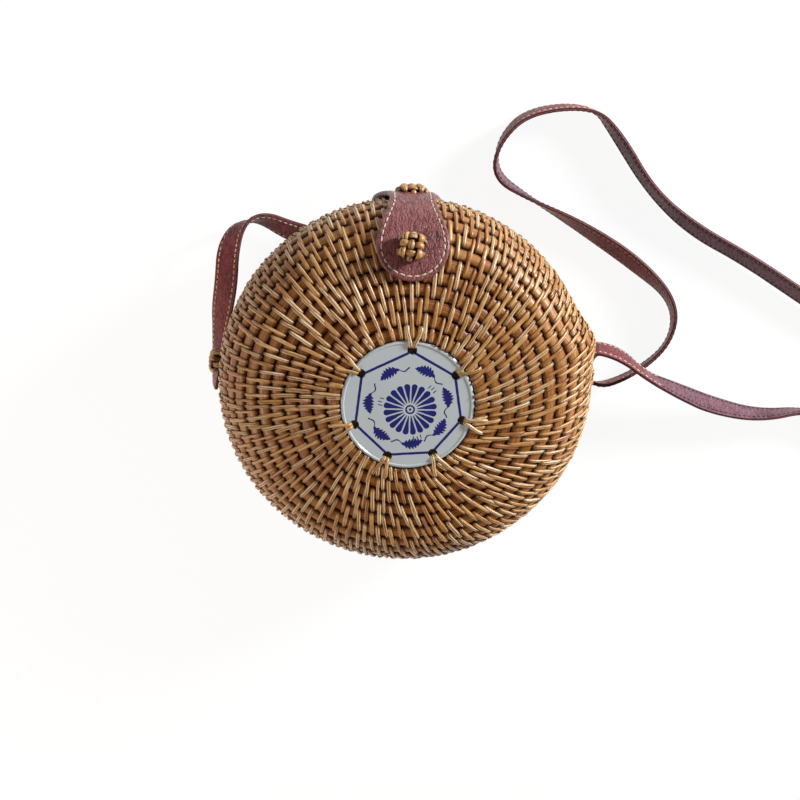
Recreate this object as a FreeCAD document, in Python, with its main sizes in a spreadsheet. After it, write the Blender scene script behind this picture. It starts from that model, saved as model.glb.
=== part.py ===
import FreeCAD, Part
import math
import os

# Round woven bag: two coiled rattan halves, hinged at the bottom rim, a leather flap
# at the top, a ceramic disc lashed into the front and one shoulder strap.
# Millimetres. The bag lies on its back: +Z out of the front, +Y towards the flap.

V = FreeCAD.Vector

SIZES = [
    ("bag_diameter", 180.0, "across both rims"),
    ("bag_depth", 70.0, "from the back rest to the front of the disc"),
    ("face_rise", 5.0, "faces above the radius of the shoulder arcs"),
    ("rest_diameter", 68.0, "flat middle of the back"),
    ("wall_thickness", 4.6, "coil rows of one half"),
    ("row_pitch", 6.5, "width of one coil row"),
    ("row_groove", 1.4, "depth between two coil rows"),
    ("band_groove", 1.1, "width of a groove in the flat middle of the back"),
    ("stitch_width", 1.8, "one stitch of the weave"),
    ("stitch_height", 0.8, "stitch above the crests of the rows"),
    ("stitch_bevel", 0.35, "stitch narrower on top, on each side"),
    ("stitch_slope", 1.5, "run of a stitch's sloping end"),
    ("stitch_gap", 0.8, "between two stitches in line"),
    ("stitch_play", 0.12, "between the stitches and the rows"),
    ("stitch_room", 0.3, "least room between stitches side by side"),
    ("stitch_pitch", 5.6, "stitches of a series beside the disc"),
    ("stitch_pitch_rim", 7.3, "stitches of a series at the rim"),
    ("stitch_slant", 11.0, "stitches off the radius, in degrees"),
    ("stitch_sway", 8.5, "change of that round the bag, in degrees"),
    ("rim_extra", 0.4, "rim rods thicker than the wall"),
    ("seam_gap", 0.4, "between the two rim rods"),
    ("lining_thickness", 0.8, "cloth"),
    ("lining_edge", 1.5, "lining stops this far inside the rim rods"),
    ("lining_step", 2.2, "slope from the lining's flat middle to the wall"),
    ("lining_play", 0.1, "lining under the lashings"),
    ("disc_diameter", 61.8, "ceramic disc"),
    ("disc_thickness", 3.4, "ceramic disc"),
    ("disc_edge", 1.0, "rounding of the disc's rim"),
    ("disc_lip", 0.4, "rim of the disc above its field"),
    ("disc_lip_width", 1.3, "rim of the disc"),
    ("disc_play", 0.2, "between the disc and the first coil row"),
    ("ledge_width", 2.4, "ledge of the front half under the disc"),
    ("hole_inset", 4.5, "lashing holes, from the disc's edge"),
    ("hole_play", 1.0, "lashing hole wider than its two strips"),
    ("lash_width", 1.6, "one lashing strip"),
    ("lash_thickness", 0.9, "one lashing strip"),
    ("lash_gap", 0.3, "between the two strips of a hole"),
    ("lash_reach", 3.0, "lashings over the first coil row"),
    ("lash_clearance", 0.15, "first coil row below the lashings"),
    ("leather_thickness", 2.6, "two stitched layers of the flap"),
    ("leather_standoff", 0.3, "leather above the coil rows"),
    ("flap_width", 33.0, "widest part of the flap"),
    ("waist_width", 21.0, "flap at the rim"),
    ("flap_neck", 12.0, "flap: from the middle of the shoulder back to its waist"),
    ("flap_widest", 11.0, "flap: from there on to its widest part"),
    ("flap_tip", 24.8, "flap: from there on to its tip"),
    ("flap_end_gap", 0.3, "flap and anchor, each from the seam"),
    ("anchor_width", 30.0, "widest part of the leather on the back"),
    ("anchor_neck", 19.0, "anchor: from the middle of the shoulder back to its waist"),
    ("anchor_widest", 5.0, "anchor: from there back to its widest part"),
    ("anchor_tip", 8.0, "anchor: from there on to its tip"),
    ("knob_diameter", 13.0, "woven closing knob"),
    ("knob_height", 8.4, "woven closing knob, head only"),
    ("knob_neck", 4.6, "neck of the knob"),
    ("knob_play", 0.1, "between the knob's head and the leather"),
    ("knob_angle", 67.5, "place of the knob up the shoulder, in degrees"),
    ("buttonhole_play", 1.4, "buttonhole wider than the neck"),
    ("slit_length", 5.0, "slit below the buttonhole"),
    ("slit_width", 1.0, "slit below the buttonhole"),
    ("knot_angle", 20.0, "place of the flap knot below the rim, in degrees"),
    ("knot_stem", 3.6, "tie of the flap knot"),
    ("knot_length", 19.0, "flap knot, along the rim"),
    ("knot_width", 13.0, "flap knot, across the rim"),
    ("knot_rise", 5.0, "flap knot above the leather"),
    ("strap_width", 12.0, "leather strap"),
    ("strap_thickness", 1.8, "leather strap"),
    ("strap_gap", 0.3, "between the strap's ends and the rims"),
    ("strap_end", 13.0, "strap beyond the middle of its knots"),
    ("keeper_along", 3.0, "knots of the strap, towards the flap"),
    ("keeper_drop", 14.0, "knots of the strap, behind the seam"),
    ("keeper_cover", 2.8, "knots over each edge of the strap"),
    ("keeper_bulge", 4.8, "knots over each face of the strap"),
    ("keeper_length", 12.8, "knots, along the strap"),
    ("keeper_seat", 0.15, "between the knots and the back half"),
    ("loop_offset", 4.5, "hinge loops from the middle"),
    ("loop_width", 4.0, "hinge loops, along the rim"),
    ("loop_thickness", 0.9, "hinge loops"),
    ("loop_play", 0.35, "between a hinge loop and the rods"),
    ("notch_room", 0.45, "between a hinge loop and the walls"),
]

# Angles of the disc's hand-made holes, in degrees from +X
HOLE_ANGLES = [87.4, 34.4, -14.8, -61.8, -109.1, -157.7, 146.2]

# Strap between its two knots: x, y, z and the roll of its width, in degrees
# from lying flat (0) over standing on edge (90) to lying flat again (180)
STRAP_ROUTE = [
    # round the left side
    (-90.1, 31.0, 21.0, 131), (-88.0, 45.2, 20.0, 158), (-87.7, 59.6, 15.5, 154),
    (-83.4, 70.4, 11.5, 114), (-72.7, 75.5, 8.5, 54), (-56.6, 67.5, 7.0, 27),
    (-36.0, 61.5, 3.6, 16),
    # under the bag
    (-6.0, 66.0, 1.7, 0), (30.0, 62.0, 1.7, 0), (57.0, 40.0, 1.7, 0), (77.9, 10.9, 4.9, 22),
    # out on the right in a loop, and back over it to the right side
    (96.2, -9.6, 6.9, 84), (118.2, -0.9, 6.6, 81), (135.8, 16.0, 6.6, 74), (136.0, 37.7, 6.5, 97),
    (112.7, 57.6, 5.5, 132), (82.8, 75.7, 6.1, 118), (57.7, 87.9, 6.5, 88), (40.3, 98.4, 6.4, 71),
    (42.4, 115.5, 6.5, 91), (55.9, 129.6, 6.4, 98), (86.5, 132.8, 6.4, 107),
    (99.1, 119.4, 6.4, 106), (117.8, 92.9, 6.4, 79), (141.1, 74.2, 6.1, 63), (170.1, 60.0, 6.2, 67),
    (200.0, 42.0, 6.2, 65), (231.9, 23.2, 6.1, 61), (267.9, 19.9, 6.3, 66), (291.9, 0.0, 6.5, 80),
    (276.2, -23.8, 6.5, 74), (245.6, -28.9, 6.5, 92), (212.3, -17.2, 6.4, 107),
    (185.8, -21.7, 7.0, 99), (158.4, -15.0, 11.5, 81), (138.4, -5.6, 18.5, 79),
    (121.7, 2.3, 22.0, 80), (106.0, 14.8, 22.5, 148),
]


doc = FreeCAD.newDocument("circle_bag")
sheet = doc.addObject("Spreadsheet::Sheet", "Sizes")
for row, (name, value, note) in enumerate(SIZES, start=1):
    sheet.set("A%d" % row, name)
    sheet.set("B%d" % row, repr(value))
    sheet.set("C%d" % row, note)
    sheet.setAlias("B%d" % row, name)
doc.recompute()
S = {name: float(sheet.get(name)) for name, _, _ in SIZES}

rim_radius = S["bag_diameter"] / 2
half_depth = S["bag_depth"] / 2
shoulder = half_depth - S["face_rise"]
wall = S["wall_thickness"]
arc_centre = rim_radius - shoulder
rod = (wall + S["rim_extra"]) / 2
rod_circle = rim_radius - rod
rod_height = rod + S["seam_gap"] / 2


# One half in section: radius and height above the seam

def face_arc(r, height):
    """Arc about the axis that runs smoothly into the shoulder and passes (r, height):
    its radius, the height of its centre, and the angle at which the shoulder begins."""
    k = r**2 + height**2 + shoulder**2 - arc_centre**2
    a = height**2 - shoulder**2
    b = (2 * shoulder**2 - k) * height
    c = k**2 / 4 - shoulder**2 * (r**2 + height**2)
    centre = (-b - math.sqrt(b * b - 4 * a * c)) / (2 * a)
    radius = shoulder + math.hypot(arc_centre, centre)
    return radius, centre, math.asin(arc_centre / (radius - shoulder))


def face_height(face, r, inset=0.0):
    return math.sqrt((face[0] - inset) ** 2 - r**2) + face[1]


def face_reach(face, height, inset=0.0):
    return math.sqrt((face[0] - inset) ** 2 - (height - face[1]) ** 2)


def bend_of(face, inset):
    """Where the face arc, set in by inset, runs into the shoulder arc."""
    r = shoulder - inset
    return (arc_centre + r * math.sin(face[2]), r * math.cos(face[2]))


def on_curve(face, start, s, inset=0.0):
    """Point at length s along the outer curve from radius start, set in by inset."""
    first = math.asin(start / face[0])
    face_length = face[0] * (face[2] - first)
    if s < face_length:
        a, c, big = first + s / face[0], (0.0, face[1]), face[0]
    else:
        a, c, big = face[2] + (s - face_length) / shoulder, (arc_centre, 0.0), shoulder
    return (c[0] + (big - inset) * math.sin(a), c[1] + (big - inset) * math.cos(a))


def curve_length(face, start, end_height):
    first = math.asin(start / face[0])
    last = math.acos(end_height / shoulder)
    return face[0] * (face[2] - first) + shoulder * (last - face[2])


def rod_seat(radius):
    """Where the arc of that radius about the shoulder's centre meets the rim rod."""
    dx, dy = rod_circle - arc_centre, rod_height
    d = math.hypot(dx, dy)
    along = (d * d + radius * radius - rod * rod) / (2 * d)
    across = math.sqrt(radius * radius - along * along)
    return (arc_centre + (along * dx - across * dy) / d,
            (along * dy + across * dx) / d)


def line(a, b):
    return Part.LineSegment(V(a[0], a[1], 0), V(b[0], b[1], 0))


def arc(a, mid, b):
    return Part.Arc(V(a[0], a[1], 0), V(mid[0], mid[1], 0), V(b[0], b[1], 0))


def arc_about(c, a, b):
    """Arc from a to b about c, the short way round."""
    mx, my = (a[0] + b[0]) / 2 - c[0], (a[1] + b[1]) / 2 - c[1]
    k = math.hypot(a[0] - c[0], a[1] - c[1]) / math.hypot(mx, my)
    return arc(a, (c[0] + k * mx, c[1] + k * my), b)


def chain(points):
    return [line(a, b) for a, b in zip(points, points[1:])]


def coil_rows(face, start):
    """Outer edge of a half: one arc for each coil row, from radius start to the rod."""
    end = rod_seat(shoulder)
    total = curve_length(face, start, end[1])
    count = max(4, round(total / S["row_pitch"]))
    edge, before = [], on_curve(face, start, 0.0, S["row_groove"])
    first = before
    for k in range(count):
        mid = on_curve(face, start, total * (k + 0.5) / count)
        last = k == count - 1
        after = end if last else on_curve(face, start, total * (k + 1) / count, S["row_groove"])
        edge.append(arc(before, mid, after))
        before = after
    return first, edge, end


def inner_edge(face, flat_height):
    """Inner edge of a half, from its seat on the rod up to its flat middle."""
    seat, bend = rod_seat(shoulder - wall), bend_of(face, wall)
    corner = (face_reach(face, flat_height, wall), flat_height)
    return seat, corner, [arc_about((arc_centre, 0.0), seat, bend),
                          arc_about((0.0, face[1]), bend, corner)]


# Bodies and their features

UPRIGHT = FreeCAD.Rotation(V(1, 0, 0), 90)
SIDEWAYS = FreeCAD.Rotation(V(1, 1, 1), 120)


def sketch(body, name, edges, placement):
    s = body.newObject("Sketcher::SketchObject", name)
    s.Placement = placement
    s.addGeometry(edges, False)
    return s


def body_of(label):
    b = doc.addObject("PartDesign::Body", label)
    b.Label = label
    return b


def revolve(label, edges, placement):
    b = body_of(label)
    s = sketch(b, label + "_section", edges, placement)
    f = b.newObject("PartDesign::Revolution", label + "_turned")
    f.Profile = s
    f.ReferenceAxis = (s, ["V_Axis"])
    f.Angle = 360.0
    return b


def pad(label, edges, placement, length):
    b = body_of(label)
    s = sketch(b, label + "_outline", edges, placement)
    f = b.newObject("PartDesign::Pad", label + "_pad")
    f.Profile = s
    f.Midplane = True
    f.setExpression("Length", length)
    return b


def pocket(body, name, edges, placement, length, both=False):
    s = sketch(body, name + "_outline", edges, placement)
    f = body.newObject("PartDesign::Pocket", name)
    f.Profile = s
    f.Midplane = both
    f.setExpression("Length", length)
    return f


def circle(x, y, radius):
    return Part.Circle(V(x, y, 0), V(0, 0, 1), radius)


def rectangle(cx, cy, wide, high, angle=0.0):
    c, s = math.cos(math.radians(angle)), math.sin(math.radians(angle))
    corners = [(-wide / 2, -high / 2), (wide / 2, -high / 2),
               (wide / 2, high / 2), (-wide / 2, high / 2), (-wide / 2, -high / 2)]
    return chain([(cx + c * x - s * y, cy + s * x + c * y) for x, y in corners])


def on_half(front):
    """Placement of a half's section: the front half up, the back half down."""
    if front:
        return FreeCAD.Placement(V(0, 0, half_depth), UPRIGHT)
    return FreeCAD.Placement(V(0, 0, half_depth), FreeCAD.Rotation(V(1, 0, 0), -90))


def on_shoulder(angle, out):
    """Placement at the shoulder on the flap's side, its Z along the normal there."""
    a = math.radians(angle)
    at = V(0, arc_centre + out * math.cos(a), half_depth + out * math.sin(a))
    return FreeCAD.Placement(at, FreeCAD.Rotation(V(1, 0, 0), angle - 90.0))


# Back half

inner_flat = half_depth - wall
back_flat = S["rest_diameter"] / 2
back_face = face_arc(back_flat, half_depth)
first, rows, end = coil_rows(back_face, back_flat)
seat, corner, inside = inner_edge(back_face, inner_flat)
bands = max(3, round(back_flat / S["row_pitch"]))
ring, half_groove = back_flat / bands, S["band_groove"] / 2
middle = [(0.0, half_depth)]
for k in range(1, bands):
    middle += [(k * ring - half_groove, half_depth), (k * ring, half_depth - S["row_groove"]),
               (k * ring + half_groove, half_depth)]
middle += [(back_flat - half_groove, half_depth), first]
rod_top = (rod_circle, rod_height + rod)
back_edges = chain(middle) + rows + [arc(end, rod_top, seat)] + inside
back_edges += chain([corner, (0.0, inner_flat), (0.0, half_depth)])
back_shell = revolve("back_shell", back_edges, on_half(False))
back_inner = corner[0]

# Front half, open in the middle for the disc, which bears on its ledge

disc_radius = S["disc_diameter"] / 2
disc_seat = disc_radius + S["disc_play"]
ledge = disc_seat - S["ledge_width"]
ledge_top = half_depth - S["disc_thickness"]
front_face = face_arc(disc_seat + S["row_pitch"] / 2, half_depth - S["lash_clearance"])
first, rows, end = coil_rows(front_face, disc_seat)
seat, corner, inside = inner_edge(front_face, inner_flat)
front_edges = [line((disc_seat, ledge_top), first)] + rows + [arc(end, rod_top, seat)] + inside
front_edges += chain([corner, (ledge, inner_flat), (ledge, ledge_top), (disc_seat, ledge_top)])
front_shell = revolve("front_shell", front_edges, on_half(True))

# Rim rods

rod_cells = "(Sizes.wall_thickness + Sizes.rim_extra) / 2"
for label, side in (("back_rim", "-"), ("front_rim", "+")):
    ring_rod = doc.addObject("Part::Torus", label)
    ring_rod.Label = label
    ring_rod.setExpression("Radius1", "Sizes.bag_diameter / 2 - " + rod_cells)
    ring_rod.setExpression("Radius2", rod_cells)
    ring_rod.setExpression(
        "Placement.Base.z",
        "Sizes.bag_depth / 2 %s (%s + Sizes.seam_gap / 2)" % (side, rod_cells))

# Cloth linings

lining, step = S["lining_thickness"], S["lining_step"]


def lining_edges(face, flat_radius, flat_height):
    """Section of a lining: on the wall outside, set in by its thickness inside."""
    low = rod_height + rod + S["lining_edge"]

    def foot(inset):
        return (math.sqrt((shoulder - inset) ** 2 - low**2) + arc_centre, low)

    out, inn = wall, wall + lining
    top = (flat_radius + step, face_height(face, flat_radius + step, out))
    top_in = (flat_radius + step, face_height(face, flat_radius + step, inn))
    edges = [arc_about((arc_centre, 0.0), foot(out), bend_of(face, out)),
             arc_about((0.0, face[1]), bend_of(face, out), top)]
    edges += chain([top, (flat_radius, flat_height), (0.0, flat_height),
                    (0.0, flat_height - lining), (flat_radius, flat_height - lining), top_in])
    edges += [arc_about((0.0, face[1]), top_in, bend_of(face, inn)),
              arc_about((arc_centre, 0.0), bend_of(face, inn), foot(inn)),
              line(foot(inn), foot(out))]
    return edges


lash, strip = S["lash_thickness"], S["lash_width"]
lash_out = disc_seat + S["lash_reach"]
lash_bottom = face_height(front_face, lash_out + lash, wall) - lash
back_lining = revolve(
    "back_lining", lining_edges(back_face, back_inner - step, inner_flat), on_half(False))
front_lining = revolve(
    "front_lining", lining_edges(front_face, lash_out + lash + step / 2, lash_bottom - S["lining_play"]),
    on_half(True))

# Ceramic disc and its lashings

round_edge, lip, bottom_edge = S["disc_edge"], S["disc_lip"], S["disc_edge"] * 0.4
top, low = S["bag_depth"], S["bag_depth"] - S["disc_thickness"]
field = top - lip
lip_at = disc_radius - max(S["disc_lip_width"], round_edge)
bulge = round_edge * (1 - math.sqrt(0.5))
disc_edges = chain([(disc_radius - round_edge, top), (lip_at, top), (lip_at - lip, field), (0.0, field),
                    (0.0, low), (disc_radius - bottom_edge, low), (disc_radius, low + bottom_edge),
                    (disc_radius, top - round_edge)])
disc_edges.append(arc((disc_radius, top - round_edge), (disc_radius - bulge, top - bulge),
                      (disc_radius - round_edge, top)))
medallion = revolve("medallion", disc_edges, FreeCAD.Placement(V(0, 0, 0), UPRIGHT))
pair = strip + S["lash_gap"] / 2
hole = pair + S["hole_play"] / 2
hole_circle = disc_radius - S["hole_inset"]
holes = [circle(hole_circle * math.cos(math.radians(a)), hole_circle * math.sin(math.radians(a)), hole)
         for a in HOLE_ANGLES]
pocket(medallion, "lashing_holes", holes, FreeCAD.Placement(V(0, 0, top + 1), FreeCAD.Rotation()),
       "Sizes.disc_thickness + 2")

lash_in = hole_circle - 0.85 * math.sqrt(hole**2 - pair**2)
lash_low = half_depth + lash_bottom
loops = []
for a in HOLE_ANGLES:
    turned = FreeCAD.Rotation(V(0, 0, 1), a)
    for y in (-pair, S["lash_gap"] / 2):
        outer = Part.makeBox(lash_out - lash_in + lash, strip, top + lash - lash_low,
                             V(lash_in, y, lash_low))
        window = Part.makeBox(lash_out - lash_in - lash, strip, top - lash_low - lash,
                              V(lash_in + lash, y, lash_low + lash))
        loop = outer.cut(window)
        loop.Placement = FreeCAD.Placement(V(0, 0, 0), turned)
        loops.append(loop)
lashings = doc.addObject("Part::Feature", "medallion_lashings")
lashings.Label = "medallion_lashings"
lashings.Shape = Part.makeCompound(loops)
slots = []
for a in HOLE_ANGLES:
    c, s = math.cos(math.radians(a)), math.sin(math.radians(a))
    at = lash_out + lash / 2
    slots += rectangle(at * c, at * s, lash, 2 * pair, a)
pocket(front_shell, "lashing_slots", slots,
       FreeCAD.Placement(V(0, 0, top + 2), FreeCAD.Rotation()), "Sizes.wall_thickness + 6")

# Leather flap over the front shoulder and its anchor on the back shoulder

leather = S["leather_thickness"]
leather_in = shoulder + S["leather_standoff"]
leather_out = leather_in + leather


def leather_strip(start, stop, tail):
    """Section of a strip round the shoulder, its end run on straight by tail."""
    def at(angle, radius):
        a = math.radians(angle)
        return (arc_centre + radius * math.cos(a), half_depth + radius * math.sin(a))

    way = math.copysign(1.0, stop)
    sides = math.radians(stop)
    along = (-way * math.sin(sides) * tail, way * math.cos(sides) * tail)
    far_in, far_out = at(stop, leather_in), at(stop, leather_out)
    tip_in = (far_in[0] + along[0], far_in[1] + along[1])
    tip_out = (far_out[0] + along[0], far_out[1] + along[1])
    low = half_depth + start
    near_in = (arc_centre + math.sqrt(leather_in**2 - start**2), low)
    near_out = (arc_centre + math.sqrt(leather_out**2 - start**2), low)
    c = (arc_centre, half_depth)
    edges = [arc_about(c, near_in, far_in)]
    edges += chain([far_in, tip_in, tip_out, far_out]) if tail else [line(far_in, far_out)]
    return edges + [arc_about(c, far_out, near_out), line(near_out, near_in)]


def trim(body, name, tilt, waist, widest, lobe):
    """Cut a strip to its lobe, seen at 45 degrees: ends of the neck, widest part and tip."""
    neck, wide, tip = lobe
    w, b, far = waist / 2, widest / 2, rim_radius
    flank = (w + (b - w) * 0.38, (neck + wide) / 2)
    cheek = (b * 0.75, wide + (tip - wide) * 0.70)
    edges = []
    for k in (1, -1):
        edges += [line((k * w, -far), (k * w, neck)),
                  arc((k * w, neck), (k * flank[0], flank[1]), (k * b, wide)),
                  arc((k * b, wide), (k * cheek[0], cheek[1]), (0.0, tip))]
    edges += chain([(-w, -far), (-far, -far), (-far, far), (far, far), (far, -far), (w, -far)])
    place = FreeCAD.Placement(V(0, arc_centre, half_depth), FreeCAD.Rotation(V(1, 0, 0), tilt))
    pocket(body, name, edges, place, "Sizes.bag_diameter", both=True)


end_gap = S["flap_end_gap"]
flap_stop = 90.0 - math.degrees(front_face[2])
past = math.radians(flap_stop - 45.0)
flap_tail = (S["flap_tip"] - leather_in * math.sin(past)) / math.cos(past) + leather
closure_flap = pad("closure_flap", leather_strip(end_gap, flap_stop, flap_tail),
                   FreeCAD.Placement(V(0, 0, 0), SIDEWAYS), "Sizes.flap_width + 4")
trim(closure_flap, "flap_outline", 135.0, S["waist_width"], S["flap_width"],
     (-S["flap_neck"], S["flap_widest"], S["flap_tip"]))
anchor_stop = 45.0 + math.degrees(math.asin((S["anchor_tip"] + leather) / leather_in))
flap_anchor = pad("flap_anchor", leather_strip(-end_gap, -anchor_stop, 0.0),
                  FreeCAD.Placement(V(0, 0, 0), SIDEWAYS), "Sizes.anchor_width + 4")
trim(flap_anchor, "anchor_outline", 225.0, S["waist_width"], S["anchor_width"],
     (-S["anchor_neck"], -S["anchor_widest"], S["anchor_tip"]))

# Closing knob: its neck goes through the buttonhole and the front wall

head = S["leather_standoff"] + leather + S["knob_play"]
wide, tall, neck = S["knob_diameter"] / 2, S["knob_height"], S["knob_neck"] / 2
knob_edges = chain([(0.0, head + tall), (0.0, -wall), (neck, -wall), (neck, head),
                    (wide * 0.74, head)])
knob_edges += [arc((wide * 0.74, head), (wide, head + tall * 0.43), (wide * 0.72, head + tall * 0.86)),
               arc((wide * 0.72, head + tall * 0.86), (wide * 0.46, head + tall * 0.97),
                   (wide * 0.16, head + tall)), line((wide * 0.16, head + tall), (0.0, head + tall))]
closure_knob = revolve("closure_knob", knob_edges, FreeCAD.Placement(V(0, 0, 0), UPRIGHT))
closure_knob.Placement = on_shoulder(S["knob_angle"], shoulder)
pocket(front_shell, "knob_hole", [circle(0, 0, neck)],
       on_shoulder(S["knob_angle"], shoulder + 2), "Sizes.wall_thickness + 4")
over = on_shoulder(S["knob_angle"], leather_out + 2)
button = neck + S["buttonhole_play"] / 2
slit = S["slit_length"]
pocket(closure_flap, "buttonhole_round", [circle(0, 0, button)], over, "Sizes.leather_thickness + 4")
pocket(closure_flap, "buttonhole_slit",
       rectangle(0, -button - slit / 2 + 0.5, S["slit_width"], slit + 1.0), over,
       "Sizes.leather_thickness + 4")


# Knots: woven lumps of rattan, seated on what they tie

def part(kind, name, **values):
    o = doc.addObject(kind, name)
    for key, value in values.items():
        if isinstance(value, str):
            o.setExpression(key, value)
        else:
            setattr(o, key, value)
    return o


def cut(label, base, tools):
    if len(tools) > 1:
        tool = part("Part::MultiFuse", label + "_tools", Shapes=tools)
    else:
        tool = tools[0]
    return part("Part::Cut", label, Base=base, Tool=tool)


sunk = S["knot_rise"] * 0.12
at_knot = on_shoulder(-S["knot_angle"], leather_out + sunk)
lump = part("Part::Ellipsoid", "flap_knot_lump", Radius1=S["knot_rise"] - sunk,
            Radius2="Sizes.knot_length / 2", Radius3="Sizes.knot_width / 2", Placement=at_knot)
bed = part("Part::Cylinder", "flap_knot_bed", Radius=leather_out, Height="Sizes.knot_length * 3",
           Placement=FreeCAD.Placement(V(-S["knot_length"] * 1.5, arc_centre, half_depth),
                                       FreeCAD.Rotation(V(0, 1, 0), 90)))
stem = part("Part::Cylinder", "flap_knot_stem", Radius="Sizes.knot_stem / 2",
            Height=wall + S["leather_standoff"] + leather + S["knot_rise"] / 3,
            Placement=on_shoulder(-S["knot_angle"], shoulder - wall))
flap_knot = part("Part::MultiFuse", "flap_knot", Shapes=[cut("flap_knot_seated", lump, [bed]), stem])
flap_knot.Label = "flap_knot"
pocket(back_shell, "knot_hole", [circle(0, 0, S["knot_stem"] / 2)],
       on_shoulder(-S["knot_angle"], shoulder + 2), "Sizes.wall_thickness + 4")
pocket(flap_anchor, "anchor_hole", [circle(0, 0, S["knot_stem"] / 2)],
       on_shoulder(-S["knot_angle"], leather_out + 2), "Sizes.leather_thickness + 4")

seat_gap, low = S["keeper_seat"], S["seam_gap"]
bed = shoulder + seat_gap
side = (arc_centre + math.sqrt(bed**2 - low**2), low)
bend = bend_of(back_face, -seat_gap)
filled = chain([side, (0.0, low), (0.0, half_depth + seat_gap), (back_flat, half_depth + seat_gap), bend])
filled += [arc_about((arc_centre, 0.0), bend, side)]
envelope = revolve("back_envelope", filled, on_half(False))
strap_at = rim_radius + S["strap_gap"] + S["strap_thickness"] / 2
keeper_at = {}
for side, name in ((-1, "left"), (1, "right")):
    centre = V(side * strap_at, S["keeper_along"], half_depth - S["keeper_drop"])
    lump = part("Part::Ellipsoid", "keeper_lump_" + name,
                Radius1="Sizes.strap_width / 2 + Sizes.keeper_cover",
                Radius2="Sizes.strap_thickness / 2 + Sizes.keeper_bulge",
                Radius3="Sizes.keeper_length / 2",
                Placement=FreeCAD.Placement(centre, FreeCAD.Rotation(V(0, 0, 1), 90 - 90 * side)))
    corner = centre - V(S["strap_thickness"] / 2, S["keeper_length"], S["strap_width"] / 2)
    slot = part("Part::Box", "keeper_slot_" + name, Length="Sizes.strap_thickness",
                Width="Sizes.keeper_length * 2", Height="Sizes.strap_width",
                Placement=FreeCAD.Placement(corner, FreeCAD.Rotation()))
    keeper = cut("strap_keeper_" + name, lump, [slot, envelope])
    keeper.Label = "strap_keeper_" + name
    keeper_at[side] = centre

# Hinge: two loops round both rim rods at the bottom, in notches of the walls

loop_play, loop_thick, loop_place = S["loop_play"], S["loop_thickness"], S["loop_offset"]
loop_in = rod + loop_play
swing = math.degrees(math.asin(loop_place / rod_circle))
for side, name in ((-1, "left"), (1, "right")):
    edges = []
    for radius in (loop_in, loop_in + loop_thick):
        up, down = half_depth + rod_height, half_depth - rod_height + loop_play
        a, b = rod_circle - radius, rod_circle + radius
        edges += [arc((b, up), (rod_circle, up + radius), (a, up)), line((a, up), (a, down)),
                  arc((a, down), (rod_circle, down - radius), (b, down)), line((b, down), (b, up))]
    loop = pad("hinge_loop_" + name, edges, FreeCAD.Placement(V(0, 0, 0), UPRIGHT),
               "Sizes.loop_width")
    loop.Placement = FreeCAD.Placement(V(0, 0, 0), FreeCAD.Rotation(V(0, 0, 1), -90 + side * swing))
    for shell, way in ((front_shell, 1), (back_shell, -1)):
        notch = [circle(-rod_circle, half_depth + way * rod_height, loop_in + loop_thick + S["notch_room"])]
        pocket(shell, "hinge_notch_%s_%s" % (name, shell.Name), notch,
               FreeCAD.Placement(V(side * loop_place, 0, 0), SIDEWAYS),
               "Sizes.loop_width + 1.2", both=True)


# Strap: a flat band along straight runs and tangent arcs, turned as it goes

def strap_stations(route):
    """Points along the route with their directions and rolls, and the radii of its arcs."""
    points = [V(*p[:3]) for p in route]
    runs = [(b - a).Length for a, b in zip(points, points[1:])]
    line_of, radii = [(points[0], (points[1] - points[0]).normalize(), 0.0, None)], []
    for k in range(1, len(points) - 1):
        t0 = (points[k] - points[k - 1]).normalize()
        t1 = (points[k + 1] - points[k]).normalize()
        angle = t0.getAngle(t1)
        reach = 0.45 * min(runs[k - 1], runs[k])
        radius = reach / math.tan(angle / 2)
        radii.append(radius)
        bend = (t1 - t0 * t0.dot(t1)).normalize()
        start = points[k] - t0 * reach
        steps = max(2, 2 * math.ceil(math.degrees(angle) / 24))
        for i in range(steps + 1):
            a = angle * i / steps
            at = start + t0 * (radius * math.sin(a)) + bend * (radius * (1 - math.cos(a)))
            way = t0 * math.cos(a) + bend * math.sin(a)
            line_of.append((at, way, radius * angle / steps if i else None, k if 2 * i == steps else None))
    line_of.append((points[-1], (points[-1] - points[-2]).normalize(), None, None))
    return line_of, radii


def strap_band(route, wide, thick):
    stations, radii = strap_stations(route)
    full = []
    for (a, ta, _, ka), (b, tb, step, kb) in zip(stations, stations[1:]):
        gap = (b - a).Length if step is None else step
        full.append((a, ta, ka, gap))
        if step is None and gap > 12.0:
            pieces = math.ceil(gap / 9.0)
            full[-1] = (a, ta, ka, gap / pieces)
            for i in range(1, pieces):
                full.append((a + (b - a) * (i / pieces), ta, None, gap / pieces))
    full.append((stations[-1][0], stations[-1][1], None, 0.0))
    along, total = [], 0.0
    for _, _, _, gap in full:
        along.append(total)
        total += gap
    knots = [(0.0, route[0][3])]
    knots += [(s, route[k][3]) for s, (_, _, k, _) in zip(along, full) if k is not None]
    knots += [(total, route[-1][3])]
    wires = []
    for s, (at, way, _, _) in zip(along, full):
        (s0, r0), (s1, r1) = next((a, b) for a, b in zip(knots, knots[1:]) if s <= b[0] + 1e-9)
        roll = math.radians(r0 + (r1 - r0) * (s - s0) / max(s1 - s0, 1e-9))
        left = V(0, 0, 1).cross(way).normalize()
        side = left * math.cos(roll) + V(0, 0, 1) * math.sin(roll)
        side = (side - way * side.dot(way)).normalize()
        flat = way.cross(side)
        ends = [at + side * (i * wide / 2) + flat * (j * thick / 2)
                for i, j in ((1, 1), (-1, 1), (-1, -1), (1, -1))]
        wires.append(Part.makePolygon(ends + ends[:1]))
    return Part.makeLoft(wires, True, True), radii, total


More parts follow.
